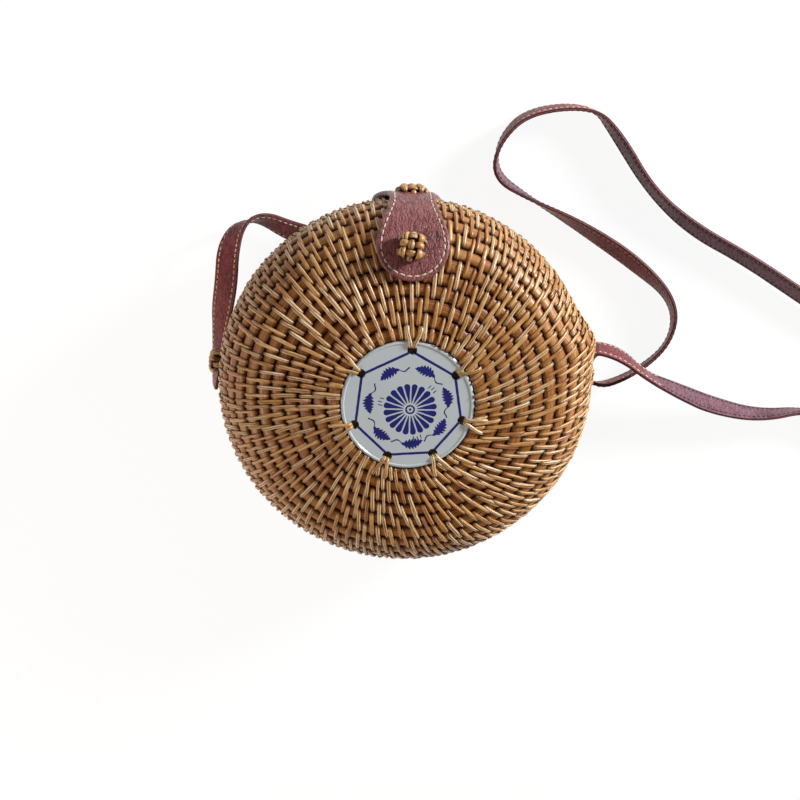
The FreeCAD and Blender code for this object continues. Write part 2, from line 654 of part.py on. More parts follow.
tail_left, tail_right, strap_end = keeper_at[-1], keeper_at[1], S["strap_end"]
route = [(tail_left.x, tail_left.y - strap_end, tail_left.z, 90), (tail_left.x, 20.0, tail_left.z, 90)]
route += STRAP_ROUTE
route += [(tail_right.x, 16.5, tail_right.z, 90), (tail_right.x, tail_right.y - strap_end, tail_right.z, 90)]
band, radii, strap_length = strap_band(route, S["strap_width"], S["strap_thickness"])
shoulder_strap = part("Part::Feature", "shoulder_strap", Shape=band)
shoulder_strap.Label = "shoulder_strap"
print("strap length %.0f mm, radii %s" % (strap_length, [round(r, 1) for r in radii]))
print("strap volume %.0f, section by length %.0f" % (
    band.Volume, S["strap_width"] * S["strap_thickness"] * strap_length))

# Weave: stitches of split cane, each over two coil rows, half a step aside from row to row

full_turn = 2 * math.pi


def slant(angle):
    return math.tan(math.radians(S["stitch_slant"] + S["stitch_sway"] * math.cos(angle + math.pi / 4)))


def stitch_series(radii, row, side):
    """Angles of the stitches of each series, halfway between those of the series before,
    with one more slipped in wherever the wider circle has room for it."""
    near, far = S["stitch_pitch"], S["stitch_pitch_rim"]
    lean = side * math.tan(math.radians(S["stitch_slant"])) * row
    series = []
    for k, r in enumerate(radii):
        step = near + (far - near) * (r - disc_seat) / (rim_radius - disc_seat)
        count = max(7, round(full_turn * r / step))
        if not series:
            series.append([full_turn * i / count for i in range(count)])
            continue
        old = series[-1]
        now = [(a + b) / 2 + lean / r for a, b in zip(old, old[1:] + [old[0] + full_turn])]
        n, extra = len(now), max(0, count - len(now))
        wide_gaps = {int(n * (j + 0.62 * k) / extra) % n for j in range(extra)}
        for g in sorted(wide_gaps, reverse=True):
            after = now[g + 1] if g + 1 < n else now[0] + full_turn
            now.insert(g + 1, (now[g] + after) / 2)
        for _ in range(3):
            before, after = [now[-1] - full_turn] + now[:-1], now[1:] + [now[0] + full_turn]
            now = [(a + 2 * b + c) / 4 for a, b, c in zip(before, now, after)]
        series.append(now)
    return series


def weave(label, side, face, start, flat_radii, first, covered):
    """Straight bars with sloping sides and ends, on the crests of two rows each."""
    total = curve_length(face, start, rod_seat(shoulder)[1])
    count = max(4, round(total / S["row_pitch"]))
    row = total / count
    radii = flat_radii + [on_curve(face, start, row * k)[0] for k in range(count + 1)]
    series = stitch_series(radii, row, side)
    long, wide, high = row - S["stitch_gap"] / 2, S["stitch_width"] / 2, S["stitch_height"]
    bevel, slope = S["stitch_bevel"], S["stitch_slope"]
    bar = Part.makeWedge(-long, 0, -wide, bevel - wide, slope - long,
                         long, high, wide, wide - bevel, long - slope)
    bars, last = [], []
    for k in range(first, count):
        foot, out = (on_curve(face, start, row * k, inset) for inset in (0.0, -1.0))
        up = (out[0] - foot[0], out[1] - foot[1])
        crests = [on_curve(face, start, row * (k + x)) for x in (-0.5, 0.5)]
        fall = max((c[0] - foot[0]) * up[0] + (c[1] - foot[1]) * up[1] for c in crests)
        lift = S["stitch_play"] + fall * 0.85
        r, h = foot[0] + lift * up[0], foot[1] + lift * up[1]
        shared = on_curve(face, start, row * (k - 0.5))[0]
        half_row = row / 2 / shared
        kept = []
        for angle in series[len(flat_radii) + k]:
            c, s, lean = math.cos(angle), math.sin(angle), side * slant(angle)
            at = V(r * c, r * s, half_depth + side * h)
            beside = (angle - lean * half_row) % full_turn
            room = [abs((beside - a + math.pi) % full_turn - math.pi) * shared for a in last]
            if covered(at) or min(room, default=full_turn) < S["stitch_width"] + S["stitch_room"]:
                continue
            normal = V(up[0] * c, up[0] * s, side * up[1])
            down = V(up[1] * c, up[1] * s, -side * up[0])
            along = (down + V(-s, c, 0) * lean).normalize()
            stitch = bar.copy()
            stitch.Placement = FreeCAD.Placement(at, FreeCAD.Rotation(along, normal, along.cross(normal), "XYZ"))
            if stitch.BoundBox.ZMin > S["stitch_play"]:
                bars.append(stitch)
                kept.append(angle + lean * row / 2 / on_curve(face, start, row * (k + 0.5))[0])
        last = kept
    node = part("Part::Feature", label, Shape=Part.makeCompound(bars))
    node.Label = label
    print(label, "stitches", len(bars))


doc.recompute()
strap_line = [at for at, _, _, _ in strap_stations(route)[0]]
pitch = S["row_pitch"]


def beside_hinge(p):
    near_rim = math.hypot(p.x, p.y) > rim_radius - 2 * pitch
    return near_rim and p.y < 0 and abs(p.x) < S["loop_offset"] + S["loop_width"]


def under(leather_body, width):
    low = leather_body.Shape.BoundBox.YMin - pitch
    return lambda p: p.y > low and abs(p.x) < width / 2 + pitch * 0.6


under_flap, under_anchor = under(closure_flap, S["flap_width"]), under(flap_anchor, S["anchor_width"])
strap_room = S["strap_width"] / 2 + pitch
knot_room = S["strap_width"] / 2 + S["keeper_cover"] + pitch
weave("front_weave", 1, front_face, disc_seat, [], 2, lambda p: beside_hinge(p) or under_flap(p))
weave("back_weave", -1, back_face, back_flat, [ring * k for k in range(bands)], 1,
      lambda p: beside_hinge(p) or under_anchor(p) or min((p - q).Length for q in strap_line) < strap_room
      or min((p - q).Length for q in keeper_at.values()) < knot_room)

# Write each piece

NODES = ["back_shell", "back_rim", "back_lining", "flap_anchor", "flap_knot", "strap_keeper_left",
         "strap_keeper_right", "hinge_loop_left", "hinge_loop_right", "shoulder_strap",
         "front_shell", "front_rim", "front_lining", "medallion", "medallion_lashings",
         "closure_knob", "closure_flap", "front_weave", "back_weave"]
doc.recompute()
for o in doc.Objects:
    if "Invalid" in o.State or "Error" in o.State:
        raise RuntimeError("%s: %s" % (o.Label, o.State))
os.makedirs("parts", exist_ok=True)
for label in NODES:
    shape = doc.getObjectsByLabel(label)[0].Shape
    if shape.isNull() or not shape.isValid():
        raise RuntimeError("%s has no valid shape" % label)
    shape.exportStep("parts/%s.step" % label)
    box = shape.BoundBox
    print("%-20s solids %d volume %9.1f  x %.1f..%.1f y %.1f..%.1f z %.1f..%.1f" % (
        label, len(shape.Solids), shape.Volume, box.XMin, box.XMax, box.YMin, box.YMax,
        box.ZMin, box.ZMax))
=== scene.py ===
# %% [markdown]
# # A round woven bag
# The bag is two dished halves of coiled rattan, hinged at the bottom rim. A glazed disc is lashed
# into the front, a leather flap buttons over the top and a long leather strap hangs from two knots.
# The packed solids give every size and place. This script dresses them, piece by piece, in the
# same frame: the bag lies on its back, +Z comes out of the front and +Y points to the flap.

# %% The frame
import math

import bmesh
import bpy
import numpy as np
from mathutils import Matrix, Vector


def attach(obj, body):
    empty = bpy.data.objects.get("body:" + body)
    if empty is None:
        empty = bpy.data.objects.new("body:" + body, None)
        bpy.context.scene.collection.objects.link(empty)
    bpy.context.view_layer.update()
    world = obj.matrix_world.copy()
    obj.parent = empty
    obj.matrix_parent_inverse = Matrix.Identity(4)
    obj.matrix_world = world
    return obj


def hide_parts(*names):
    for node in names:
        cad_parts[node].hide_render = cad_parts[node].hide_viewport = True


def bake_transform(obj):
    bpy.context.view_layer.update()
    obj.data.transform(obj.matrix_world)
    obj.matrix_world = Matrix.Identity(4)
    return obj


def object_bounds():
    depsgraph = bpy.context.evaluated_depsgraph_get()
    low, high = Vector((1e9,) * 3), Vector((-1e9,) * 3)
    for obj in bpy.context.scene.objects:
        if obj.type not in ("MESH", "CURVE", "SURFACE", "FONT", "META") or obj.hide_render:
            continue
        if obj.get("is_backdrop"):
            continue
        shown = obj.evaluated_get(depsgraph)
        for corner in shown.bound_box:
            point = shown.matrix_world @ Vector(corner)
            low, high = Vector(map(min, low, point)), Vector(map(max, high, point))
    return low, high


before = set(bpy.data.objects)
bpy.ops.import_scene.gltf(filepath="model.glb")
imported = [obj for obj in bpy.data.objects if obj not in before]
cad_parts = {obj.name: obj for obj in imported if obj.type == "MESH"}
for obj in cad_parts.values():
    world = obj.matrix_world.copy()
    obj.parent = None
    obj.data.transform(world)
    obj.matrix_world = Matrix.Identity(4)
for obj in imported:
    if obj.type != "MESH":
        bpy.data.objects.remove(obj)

cad_box = [list(corner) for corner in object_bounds()]
MM, TURN = 0.001, 2 * math.pi
scene = bpy.context.scene

# %% [markdown]
# ## Camera
# The picture is taken from above, leaning towards the flap. Its camera was found from the bag's
# known width and the ellipse of the disc, so here it is written down as a place and three axes.
# Writing the matrix is exact, where aiming a camera by hand would drift.

# %% Camera
CAMERA_AT = (-23.964, 175.746, 608.183)
CAMERA_AXES = ((0.99908351, 0.03314301, 0.02708644),
               (-0.02324283, 0.95145936, -0.30689551),
               (-0.03594309, 0.30598468, 0.95135770))
SENSOR, LENS = 36.0, 55.387
camera_data = bpy.data.cameras.new("camera")
camera_data.sensor_width, camera_data.lens = SENSOR, LENS
camera = bpy.data.objects.new("camera", camera_data)
scene.collection.objects.link(camera)
placed = Matrix.Identity(4)
for column, axis in enumerate(CAMERA_AXES):
    placed.col[column] = (*axis, 0.0)
placed.col[3] = (*(c * MM for c in CAMERA_AT), 1.0)
camera.matrix_world = placed
bpy.context.scene.camera = camera
print("camera at", [round(c, 3) for c in camera.location])

# %% [markdown]
# ## Surfaces from arrays
# Every new piece is a grid of points worked out with numpy. Shapes like these could be pushed into
# place by hand, but a formula stays exact when a size changes. `skin` turns a stack of grids into
# faces and keeps the UV of each corner beside them, so that a pattern can run along a strip.
# Points are in millimetres until Blender gets them.

# %% Faces over grids
def skin(points, uv, wrap_rows=False, caps=False, material=0, **values):
    """Quads over grids: points is (grids, rows, columns, 3), and face (i, j) joins the points
    (i, j), (i + 1, j), (i + 1, j + 1) and (i, j + 1). Columns close on themselves, and rows too
    with wrap_rows; uv has one more of each that closes. values are numbers per point."""
    g, m, k = points.shape[:3]
    i, j = np.meshgrid(np.arange(m if wrap_rows else m - 1), np.arange(k), indexing="ij")
    ci, cj = np.stack([i, i + 1, i + 1, i], -1), np.stack([j, j, j + 1, j + 1], -1)
    index = ((ci % m) * k + cj % k).reshape(1, -1, 4)
    start = (np.arange(g) * m * k)[:, None, None]
    ends = np.zeros((0, k), int)
    if caps:
        ring = np.arange(k)
        ends = np.concatenate([start[:, 0] + ring, start[:, 0] + (m - 1) * k + ring[::-1]])
    return {"co": points.reshape(-1, 3), "quads": (start + index).reshape(-1, 4),
            "uv": uv[:, ci, cj].reshape(-1, 4, 2), "caps": ends, "material": material,
            "values": {n: np.broadcast_to(v, (g, m, k)).reshape(-1) for n, v in values.items()}}


def volume(surface):
    """Signed volume under the quads: the sum of a . (b x c) / 6 over their triangles."""
    a, b, c, d = (surface["co"][surface["quads"][:, n]] for n in range(4))
    return sum(np.einsum("ij,ij->", a, np.cross(p, q)) for p, q in ((b, c), (c, d))) / 6


tube = skin(np.zeros((1, 3, 8, 3)), np.zeros((1, 3, 9, 2)))
print("a tube of 3 rings with 8 points has", len(tube["quads"]), "faces")

# %% [markdown]
# ## Pieces from surfaces
# A piece is often several surfaces, such as a core and the strips round it. Joined in one mesh they
# are lighter than an object each. `build` turns every surface outside out by its signed volume, and
# keeps tone, depth and the like as attributes, which the finishes read.

# %% Pieces
UNSET, WELD = 0.5, 1e-6


def build(name, surfaces, finishes, replaces=(), weld=False):
    """One object at the origin. A surface of negative volume is inside out, so the corners of
    its faces are taken in reverse."""
    faces, uvs, marks, points, first = [], [], [], [], 0
    for s in surfaces:
        quads, uv, caps = s["quads"], s["uv"], s["caps"]
        if volume(s) < 0:
            quads, uv, caps = quads[:, ::-1], uv[:, ::-1], caps[:, ::-1]
        faces += (quads + first).tolist() + (caps + first).tolist()
        uvs += [uv.reshape(-1, 2), np.zeros((caps.size, 2))]
        marks += [s["material"]] * (len(quads) + len(caps))
        points.append(s["co"])
        first += len(s["co"])
    mesh = bpy.data.meshes.new(name)
    mesh.from_pydata(np.concatenate(points) * MM, [], faces)
    mesh.uv_layers.new(name="UVMap").data.foreach_set("uv", np.concatenate(uvs).ravel())
    mesh.polygons.foreach_set("material_index", marks)
    for key in sorted({n for s in surfaces for n in s["values"]}):
        filled = [s["values"].get(key, np.full(len(s["co"]), UNSET)) for s in surfaces]
        mesh.attributes.new(key, "FLOAT", "POINT").data.foreach_set(
            "value", np.concatenate(filled).astype(np.float32))
    for finish in finishes:
        mesh.materials.append(finish)
    if weld:
        bm = bmesh.new()
        bm.from_mesh(mesh)
        bmesh.ops.remove_doubles(bm, verts=bm.verts, dist=WELD)
        bm.to_mesh(mesh)
        bm.free()
    mesh.shade_smooth()
    mesh.update()
    piece = bpy.data.objects.new(name, mesh)
    scene.collection.objects.link(piece)
    if replaces:
        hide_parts(*replaces)
    print(name, "faces", len(mesh.polygons))
    return piece


print("solids to dress", sorted(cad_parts))

# %% [markdown]
# ## Finishes as expressions
# A material is written as a formula. `Value` wraps a shader socket, so `1 - mask * 0.5` adds its
# Math nodes by itself. Formulas are easier to read and change than dozens of hand-placed nodes.

# %% Shader values
class Value:
    """A shader socket that takes part in arithmetic."""

    def __init__(self, finish, socket):
        self.finish, self.socket = finish, socket

    def do(self, operation, *others):
        """One Math node with this value first."""
        sockets = dict(enumerate((self, *others)))
        return self.finish.node("ShaderNodeMath", {"operation": operation}, sockets)

    def __add__(self, o): return self.do("ADD", o)
    def __radd__(self, o): return self.do("ADD", o)
    def __sub__(self, o): return self.do("SUBTRACT", o)
    def __rsub__(self, o): return (self * -1.0).do("ADD", o)
    def __mul__(self, o): return self.do("MULTIPLY", o)
    def __rmul__(self, o): return self.do("MULTIPLY", o)
    def __pow__(self, o): return self.do("POWER", o)
    def __lt__(self, o): return self.do("LESS_THAN", o)
    def __gt__(self, o): return self.do("GREATER_THAN", o)
    def __abs__(self): return self.do("ABSOLUTE")

    def clamp(self, low=0.0, high=1.0):
        """The value, held between low and high."""
        return self.do("MAXIMUM", low).do("MINIMUM", high)

    def rise(self, start, end):
        """0 at start, 1 at end, straight between."""
        return ((self - start) * (1.0 / (end - start))).clamp()


def both(a, b):
    """The larger of two values: one mask over another."""
    return a.do("MAXIMUM", b)


print("a value can also", [n for n in vars(Value) if not n.startswith("_")])

# %% [markdown]
# `Finish` holds the material. Its `node` method makes every node from a type, settings and sockets,
# and short methods name the ones that are used often. What is the same all over a surface is set
# on the shader's own socket, and only what varies is linked.

# %% Shader finishes
class Finish:
    """A Principled material whose varying sockets are fed by formulas."""

    def __init__(self, name, fixed):
        self.material = bpy.data.materials.new(name)
        self.material.use_nodes = True
        self.tree = self.material.node_tree
        self.shader = self.tree.nodes["Principled BSDF"]
        for key, value in fixed.items():
            self.shader.inputs[key].default_value = value

    def node(self, kind, settings=None, sockets=None, out=0):
        """Any node: its settings first, then links or plain values, and one output back."""
        made = self.tree.nodes.new(kind)
        for key, value in (settings or {}).items():
            if key == "stops":
                stops = made.color_ramp.elements
                for n, (at, colour) in enumerate(value):
                    stop = stops[n] if n < 2 else stops.new(at)
                    stop.position, stop.color = at, (*colour, 1.0)
            else:
                setattr(made, key, value)
        for key, value in (sockets or {}).items():
            if isinstance(value, Value):
                self.tree.links.new(value.socket, made.inputs[key])
            else:
                made.inputs[key].default_value = value
        return Value(self, made.outputs[out])

    def place(self):
        """Object coordinates, in metres."""
        return self.node("ShaderNodeTexCoord", out=3)

    def uv(self):
        """The piece's own UV, in millimetres."""
        return self.node("ShaderNodeUVMap", {"uv_map": "UVMap"})

    def value(self, name):
        """A number per point that the piece keeps."""
        return self.node("ShaderNodeAttribute", {"attribute_name": name}, out=2)

    def noise(self, vector, scale, stretch=(1, 1, 1), detail=3.0, roughness=0.55):
        """Noise that is drawn out along the axes with a small stretch."""
        turned = self.node("ShaderNodeMapping", {}, {"Vector": vector, "Scale": stretch})
        return self.node("ShaderNodeTexNoise", {}, {
            "Vector": turned, "Scale": scale, "Detail": detail, "Roughness": roughness})

    def ramp(self, value, *stops):
        """Colour by value, between stops."""
        return self.node("ShaderNodeValToRGB", {"stops": stops}, {"Fac": value})

    def mix(self, factor, a, b):
        """Colour a at factor 0, b at 1."""
        a, b = ((*c, 1.0) if isinstance(c, tuple) else c for c in (a, b))
        return self.node("ShaderNodeMix", {"data_type": "RGBA"}, {0: factor, 6: a, 7: b}, out=2)

    def feed(self, **sockets):
        """Link values to the shader's sockets of those names."""
        for key, value in sockets.items():
            self.tree.links.new(value.socket, self.shader.inputs[key.replace("_", " ")])

    def bump(self, height, distance, strength):
        """Relief from a height, distance metres deep."""
        self.feed(Normal=self.node("ShaderNodeBump", {}, {
            "Strength": strength, "Distance": distance, "Height": height}))

    def done(self):
        """The material, once its formula is whole."""
        print("finish", self.material.name, "nodes", len(self.tree.nodes))
        return self.material


print("a finish can", [n for n in vars(Finish) if not n.startswith("_")])

# %% [markdown]
# ## Rattan finishes
# The coil rows are split cane with the skin on: honey to reddish brown, with fine grain along the
# row. The stitches over them are peeled cane, lighter, with a satin shine. Grain must follow the
# strip, so both read the piece's own UV, which is in millimetres along and across. Where a strip
# dives, shade is painted into its colour, first red and then dark, and its shine fades, because
# the grooves are dull.

# %% Rattan finishes
# Colours of the shade that is painted into the grooves and the slits.
GROOVE_SHADE_RED, GROOVE_SHADE_DARK = (0.160, 0.022, 0.003), (0.018, 0.0016, 0.0003)
SLIT_HALF, SLIT_SOFT, SLIT_TONE = 0.17, 0.10, 0.55


def rattan_finish(name, dark, middle, light, gloss, groove):
    """Cane: its colour goes by a weighted sum of streaks, fibres, patches and the strip's own
    tone, and deep mixes painted shade into it. Pale strips have a slit along the middle, painted
    dark as shade. The shine is a coat of gloss * (1 - deep)."""
    f = Finish(name, {"IOR": 1.45, "Specular IOR Level": 0.10,
                      "Coat Roughness": 0.38, "Coat IOR": 1.7})
    along = f.uv()
    streak = f.noise(along, 1.0, (0.09, 2.6, 1.0), 4.0)
    fibre = f.noise(along, 1.0, (0.035, 1.5, 1.0), 2.0).rise(0.36, 0.56)
    patch = f.noise(along, 1.0, (0.16, 0.10, 1.0), 2.0)
    tone = f.value("tone")
    mixed = (streak * 0.40 + fibre * 0.26 + patch * 0.5 + tone * 0.55 - 0.36).clamp()
    colour = f.ramp(mixed, (0.10, dark), (0.5, middle), (0.92, light))
    slit = (SLIT_HALF - abs(f.value("across"))).rise(0.0, SLIT_SOFT) * (tone > SLIT_TONE) * 0.75
    deep = both(f.value("deep"), slit)
    # Painted shade: red where a strip begins to dive, dark deep in the grooves and slits.
    colour = f.mix(deep.rise(0.0, 0.5) * 0.6, colour, GROOVE_SHADE_RED)
    colour = f.mix(deep * groove, colour, GROOVE_SHADE_DARK)
    f.feed(Base_Color=colour, Roughness=(streak * 0.3 + 0.4 + deep * 0.2).clamp(),
           Coat_Weight=((1.0 - deep) * gloss * (streak * 0.8 + 0.6)).clamp())
    f.bump(streak * 0.6 + fibre * 0.5 - slit, 0.00035, 0.8)
    return f.done()


row_cane = rattan_finish("row_cane", (0.140, 0.030, 0.006), (0.450, 0.164, 0.033),
                         (0.720, 0.420, 0.165), gloss=0.60, groove=1.0)
stitch_cane = rattan_finish("stitch_cane", (0.280, 0.080, 0.015), (0.610, 0.300, 0.084),
                            (0.930, 0.725, 0.440), gloss=0.90, groove=0.97)

# %% [markdown]
# ## The wall of one half
# Both halves have the same kind of section: a wide flat arc over the face that runs into a tighter
# arc at the shoulder and ends on the rim rod. `Half` repeats the section of the solids and answers
# where a point at length s along it lies, so rows and stitches can be laid out by length. Handwork
# is never quite round: the wall bulges a little where the strap's right end pulls at it.

# %% Section of a half
RIM, HALF, SHOULDER, WALL, ROD, SEAM = 90.0, 35.0, 30.0, 4.6, 2.5, 0.4
ARC = RIM - SHOULDER
ROD_AT = (RIM - ROD, ROD + SEAM / 2)
ROW, REST = 6.5, 34.0
REST_SINK, REST_EASE = 1.15, 14.0
BULGE, BULGE_AT, BULGE_WIDE, BULGE_FROM, BULGE_EASE = 3.8, math.radians(16.5), 0.105, 66.0, 22.0


def smooth(t):
    """t * t * (3 - 2 t): from 0 to 1 with level ends."""
    t = np.clip(t, 0.0, 1.0)
    return t * t * (3 - 2 * t)


def rod_seat(radius):
    """Where the arc of that radius about the shoulder's centre meets the rim rod: two circles,
    d apart, meet (d d + radius radius - ROD ROD) / 2 d along the line of their centres."""
    dx, dy = ROD_AT[0] - ARC, ROD_AT[1]
    d = math.hypot(dx, dy)
    near = (d * d + radius * radius - ROD * ROD) / (2 * d)
    off = math.sqrt(radius * radius - near * near)
    return ARC + (near * dx - off * dy) / d, (near * dy + off * dx) / d


class Half:
    """Section of one half. The face arc touches the shoulder arc from inside and goes through a
    given point, which makes the height of its centre the root of a quadratic."""

    def __init__(self, side, through, start, flat):
        r, height = through
        k = r**2 + height**2 + SHOULDER**2 - ARC**2
        a, b = height**2 - SHOULDER**2, (2 * SHOULDER**2 - k) * height
        c = k**2 / 4 - SHOULDER**2 * (r**2 + height**2)
        self.side, self.flat = side, flat
        self.centre = (-b - math.sqrt(b * b - 4 * a * c)) / (2 * a)
        self.radius = SHOULDER + math.hypot(ARC, self.centre)
        self.turn = math.asin(ARC / (self.radius - SHOULDER))
        self.first = math.asin(start / self.radius)
        self.face = self.radius * (self.turn - self.first)
        last = math.acos(rod_seat(SHOULDER)[1] / SHOULDER)
        length = self.face + SHOULDER * (last - self.turn)
        self.edges = flat + np.linspace(0.0, length, round(length / ROW) + 1)
        if flat:
            middle = np.linspace(0.0, flat, round(flat / ROW) + 1)
            self.edges = np.concatenate([middle[:-1], self.edges])

    def at(self, s, inset=0.0):
        """Radius, height above the seam and slope angle at length s, set in along the normal."""
        run = np.asarray(s, float) - self.flat
        on_face = run < self.face
        a = np.where(on_face, self.first + run / self.radius,
                     self.turn + (run - self.face) / SHOULDER)
        big = np.where(on_face, self.radius, SHOULDER)
        r = np.where(on_face, 0.0, ARC) + (big - inset) * np.sin(a)
        h = np.where(on_face, self.centre, 0.0) + (big - inset) * np.cos(a)
        level = run < 0
        return np.where(level, s, r), np.where(level, HALF - inset, h), np.where(level, 0.0, a)

    def sink(self, s):
        """Rows are sunk where the bag rests, so that the stitches on them touch the floor."""
        return REST_SINK * (1.0 - smooth((s - self.flat) / REST_EASE)) if self.flat else 0.0 * s

    def place(self, r, h, angle):
        """Point in space, with a bell-shaped bulge in the angle that grows towards the rim."""
        off = (angle - BULGE_AT + math.pi) % TURN - math.pi
        bell = BULGE * np.exp(-((off / BULGE_WIDE) ** 2))
        r = r + bell * smooth((r - BULGE_FROM) / BULGE_EASE)
        return np.stack(np.broadcast_arrays(r * np.cos(angle), r * np.sin(angle),
                                            HALF + self.side * h), -1)


DISC = 30.9
DISC_SEAT = DISC + 0.2
front = Half(1, (DISC_SEAT + ROW / 2, HALF - 0.15), DISC_SEAT, 0.0)
back = Half(-1, (REST, HALF), REST, REST)
HALVES = ((front, "front"), (back, "back"))
print("rows", len(front.edges) - 1, len(back.edges) - 1, "face radius", round(front.radius, 1))

# %% [markdown]
# ## Coil rows
# A coil row is a bundle of cane bound into a rounded band. A turned profile would look machined,
# so each row wanders a little in and out as it goes round, by a few sine waves whose phases are
# drawn once per row. The inner side of the wall closes the same grid.

# %% Coil rows
COLUMNS = 320
angles = np.arange(COLUMNS + 1) * (TURN / COLUMNS)
ACROSS = np.array([-1.0, -0.93, -0.76, -0.42, 0.0, 0.42, 0.76, 0.93])
GROOVE, GROOVE_POWER, ROW_INSET, ROW_WANDER, CREST_WANDER = 2.2, 3.2, 0.12, 0.30, 0.14
ROW_TONES, TONE_PLAY, INSIDE_TONE_AND_SHADE, INSIDE_V = (0.15, 0.70), 0.15, 0.4, (200, 260)
LEDGE_IN, LEDGE_OUT, LEDGE_THICK, LEAN_STEPS = 2.2, 2.0, 1.2, 6
POLE, NARROW, EDGE_IN = 0.05, 8.0, 0.02


def wander(rng, rows, angle, size):
    """Sum of sine waves round the circle, with other phases for each row: (rows, angles)."""
    waves = np.array([2, 3, 5, 9, 17, 29])
    phase = rng.uniform(0, TURN, (rows, len(waves), 1))
    part = np.sin(waves[None, :, None] * angle[None, None, :] + phase)
    return size * (part * (waves ** -0.4)[None, :, None]).sum(1) / 2.0


def wall_inside(half):
    """Radius and height of the inside: the rod, the shoulder less the wall, and the middle, which
    is flat or has the ledge that the disc lies on."""
    seat, shoulder_in, inner = rod_seat(SHOULDER - WALL), SHOULDER - WALL, HALF - WALL
    foot = math.atan2(seat[1], seat[0] - ARC)
    lean = np.linspace(foot, math.pi / 2 - half.turn, LEAN_STEPS)
    inside = [rod_seat(SHOULDER), (ROD_AT[0], ROD_AT[1] + ROD)]
    inside += [(ARC + shoulder_in * math.cos(a), shoulder_in * math.sin(a)) for a in lean]
    if half.flat:
        return np.array(inside + [(half.flat, inner), (POLE, inner)])
    return np.array(inside + [(DISC + LEDGE_OUT, inner), (DISC - LEDGE_IN, inner),
                              (DISC - LEDGE_IN, inner + LEDGE_THICK),
                              (DISC_SEAT, inner + LEDGE_THICK)])


def coil(half, seed):
    """Grid of lengths along the section by angles. Across a row, x goes from -1 to 1 and the
    surface falls into the groove by GROOVE * (1 - sqrt(1 - |x| ** GROOVE_POWER))."""
    rng = np.random.default_rng(seed)
    rows = len(half.edges) - 1
    x = np.tile(ACROSS, rows)[:, None]
    row = np.repeat(np.arange(rows), len(ACROSS))
    s = half.edges[row][:, None] + (x + 1) / 2 * np.diff(half.edges)[row][:, None]
    fixed = np.minimum(1.0, np.minimum(s - half.edges[0], half.edges[-1] - s) / ROW)
    s = s + fixed * wander(rng, rows + 1, angles, ROW_WANDER)[row + (x[:, 0] > 0)]
    s = np.maximum(s, half.edges[0] + EDGE_IN)
    fall = 1.0 - np.sqrt(np.maximum(0.0, 1.0 - np.abs(x) ** GROOVE_POWER))
    inset = GROOVE * fall + ROW_INSET + wander(rng, rows, angles, CREST_WANDER)[row] + half.sink(s)
    r, h, _ = half.at(s, inset)
    inside = wall_inside(half)[:, :, None] + np.zeros(COLUMNS + 1)
    count = len(inside)
    v = np.concatenate([np.broadcast_to(s, r.shape),
                        np.linspace(*INSIDE_V, count)[:, None] + np.zeros(COLUMNS + 1)])
    r, h = np.concatenate([r, inside[:, 0]]), np.concatenate([h, inside[:, 1]])
    if half.flat:
        r[0] = POLE
    round_run = angles * np.maximum(r, NARROW).mean(1, keepdims=True)
    uv = np.stack([np.broadcast_to(round_run, r.shape), v], -1)
    if not half.flat:
        uv = np.concatenate([uv, uv[:1]])
    # deep is painted shade: it grows into each groove, and the inside of the wall gets a middling
    # shade.
    deep = np.concatenate([fall[:, 0] ** 0.7, np.full(count, INSIDE_TONE_AND_SHADE)])[:, None]
    hue = np.linspace(*ROW_TONES, rows) + rng.uniform(-TONE_PLAY, TONE_PLAY, rows)
    hue = np.concatenate([hue[row], np.full(count, INSIDE_TONE_AND_SHADE)])[:, None]
    return skin(half.place(r, h, angles)[None, :, :-1], uv[None], wrap_rows=not half.flat,
                caps=bool(half.flat), tone=hue, deep=deep, across=1.0)


for seed, (half, name) in zip((11, 12), HALVES):
    piece = build(name + "_coil", [coil(half, seed)], [row_cane], [name + "_shell"])
    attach(piece, name + "_half")

# %% [markdown]
# ## Where the stitches go
# Each stitch crosses two rows, and the next series sits half a step aside, so the rows show a
# twill. Equal steps on every row would line up like tiles. As the circle widens, a weaver adds a
# stitch here and there: new ones are slipped in, spread round the row, and their neighbours move
# over, which leaves the small faults of real weaving.

# %% Stitch places
NEAR_STEP, RIM_STEP, SLANT, FEWEST, SLIP, EVENINGS = 5.6, 7.3, 11.0, 7, 0.62, 3


def after(places):
    """Each angle's next one round the circle."""
    return np.append(places[1:], places[0] + TURN)


def stitch_angles(half):
    """Angles of each series, one series on each edge between rows: halfway between those of the
    series before and moved on by the slant, with new ones slipped in, then evened out."""
    radii = half.at(half.edges)[0]
    lean = half.side * math.tan(math.radians(SLANT)) * (half.edges[-1] - half.edges[-2])
    series = []
    for k, r in enumerate(radii):
        step = NEAR_STEP + (RIM_STEP - NEAR_STEP) * (r - DISC_SEAT) / (RIM - DISC_SEAT)
        count = max(FEWEST, round(TURN * r / step))
        if k == 0:
            now = np.arange(count) * TURN / count
        else:
            now = (now + after(now)) / 2 + lean / r
            n, extra = len(now), max(0, count - len(now))
            gap = np.unique((n * (np.arange(extra) + SLIP * k) / max(extra, 1)).astype(int) % n)
            now = np.insert(now, gap + 1, (now[gap] + after(now)[gap]) / 2)
            for _ in range(EVENINGS):
                now = (np.append(now[-1] - TURN, now[:-1]) + 2 * now + after(now)) / 4
        series.append(now)
    return series


print("stitches", [sum(map(len, stitch_angles(half))) for half, _ in HALVES])

# %% [markdown]
# ## Split-cane strips
# Stitches, bindings, knots and lashings are all strips of split cane: flat below, domed above. A
# curve with a bevel could make one, but a thousand of them are quicker as one array. The section
# has only six corners, because it is repeated so often.

# %% Strips
STRIP_SECTION = np.array([(-1, 0), (-0.80, 0.78), (0, 1), (0.80, 0.78), (1, 0), (0, -0.3)])
GRAIN_SHIFT = 3.7


def unit(v):
    """Vectors divided by their length."""
    return v / np.maximum(np.linalg.norm(v, axis=-1, keepdims=True), 1e-9)


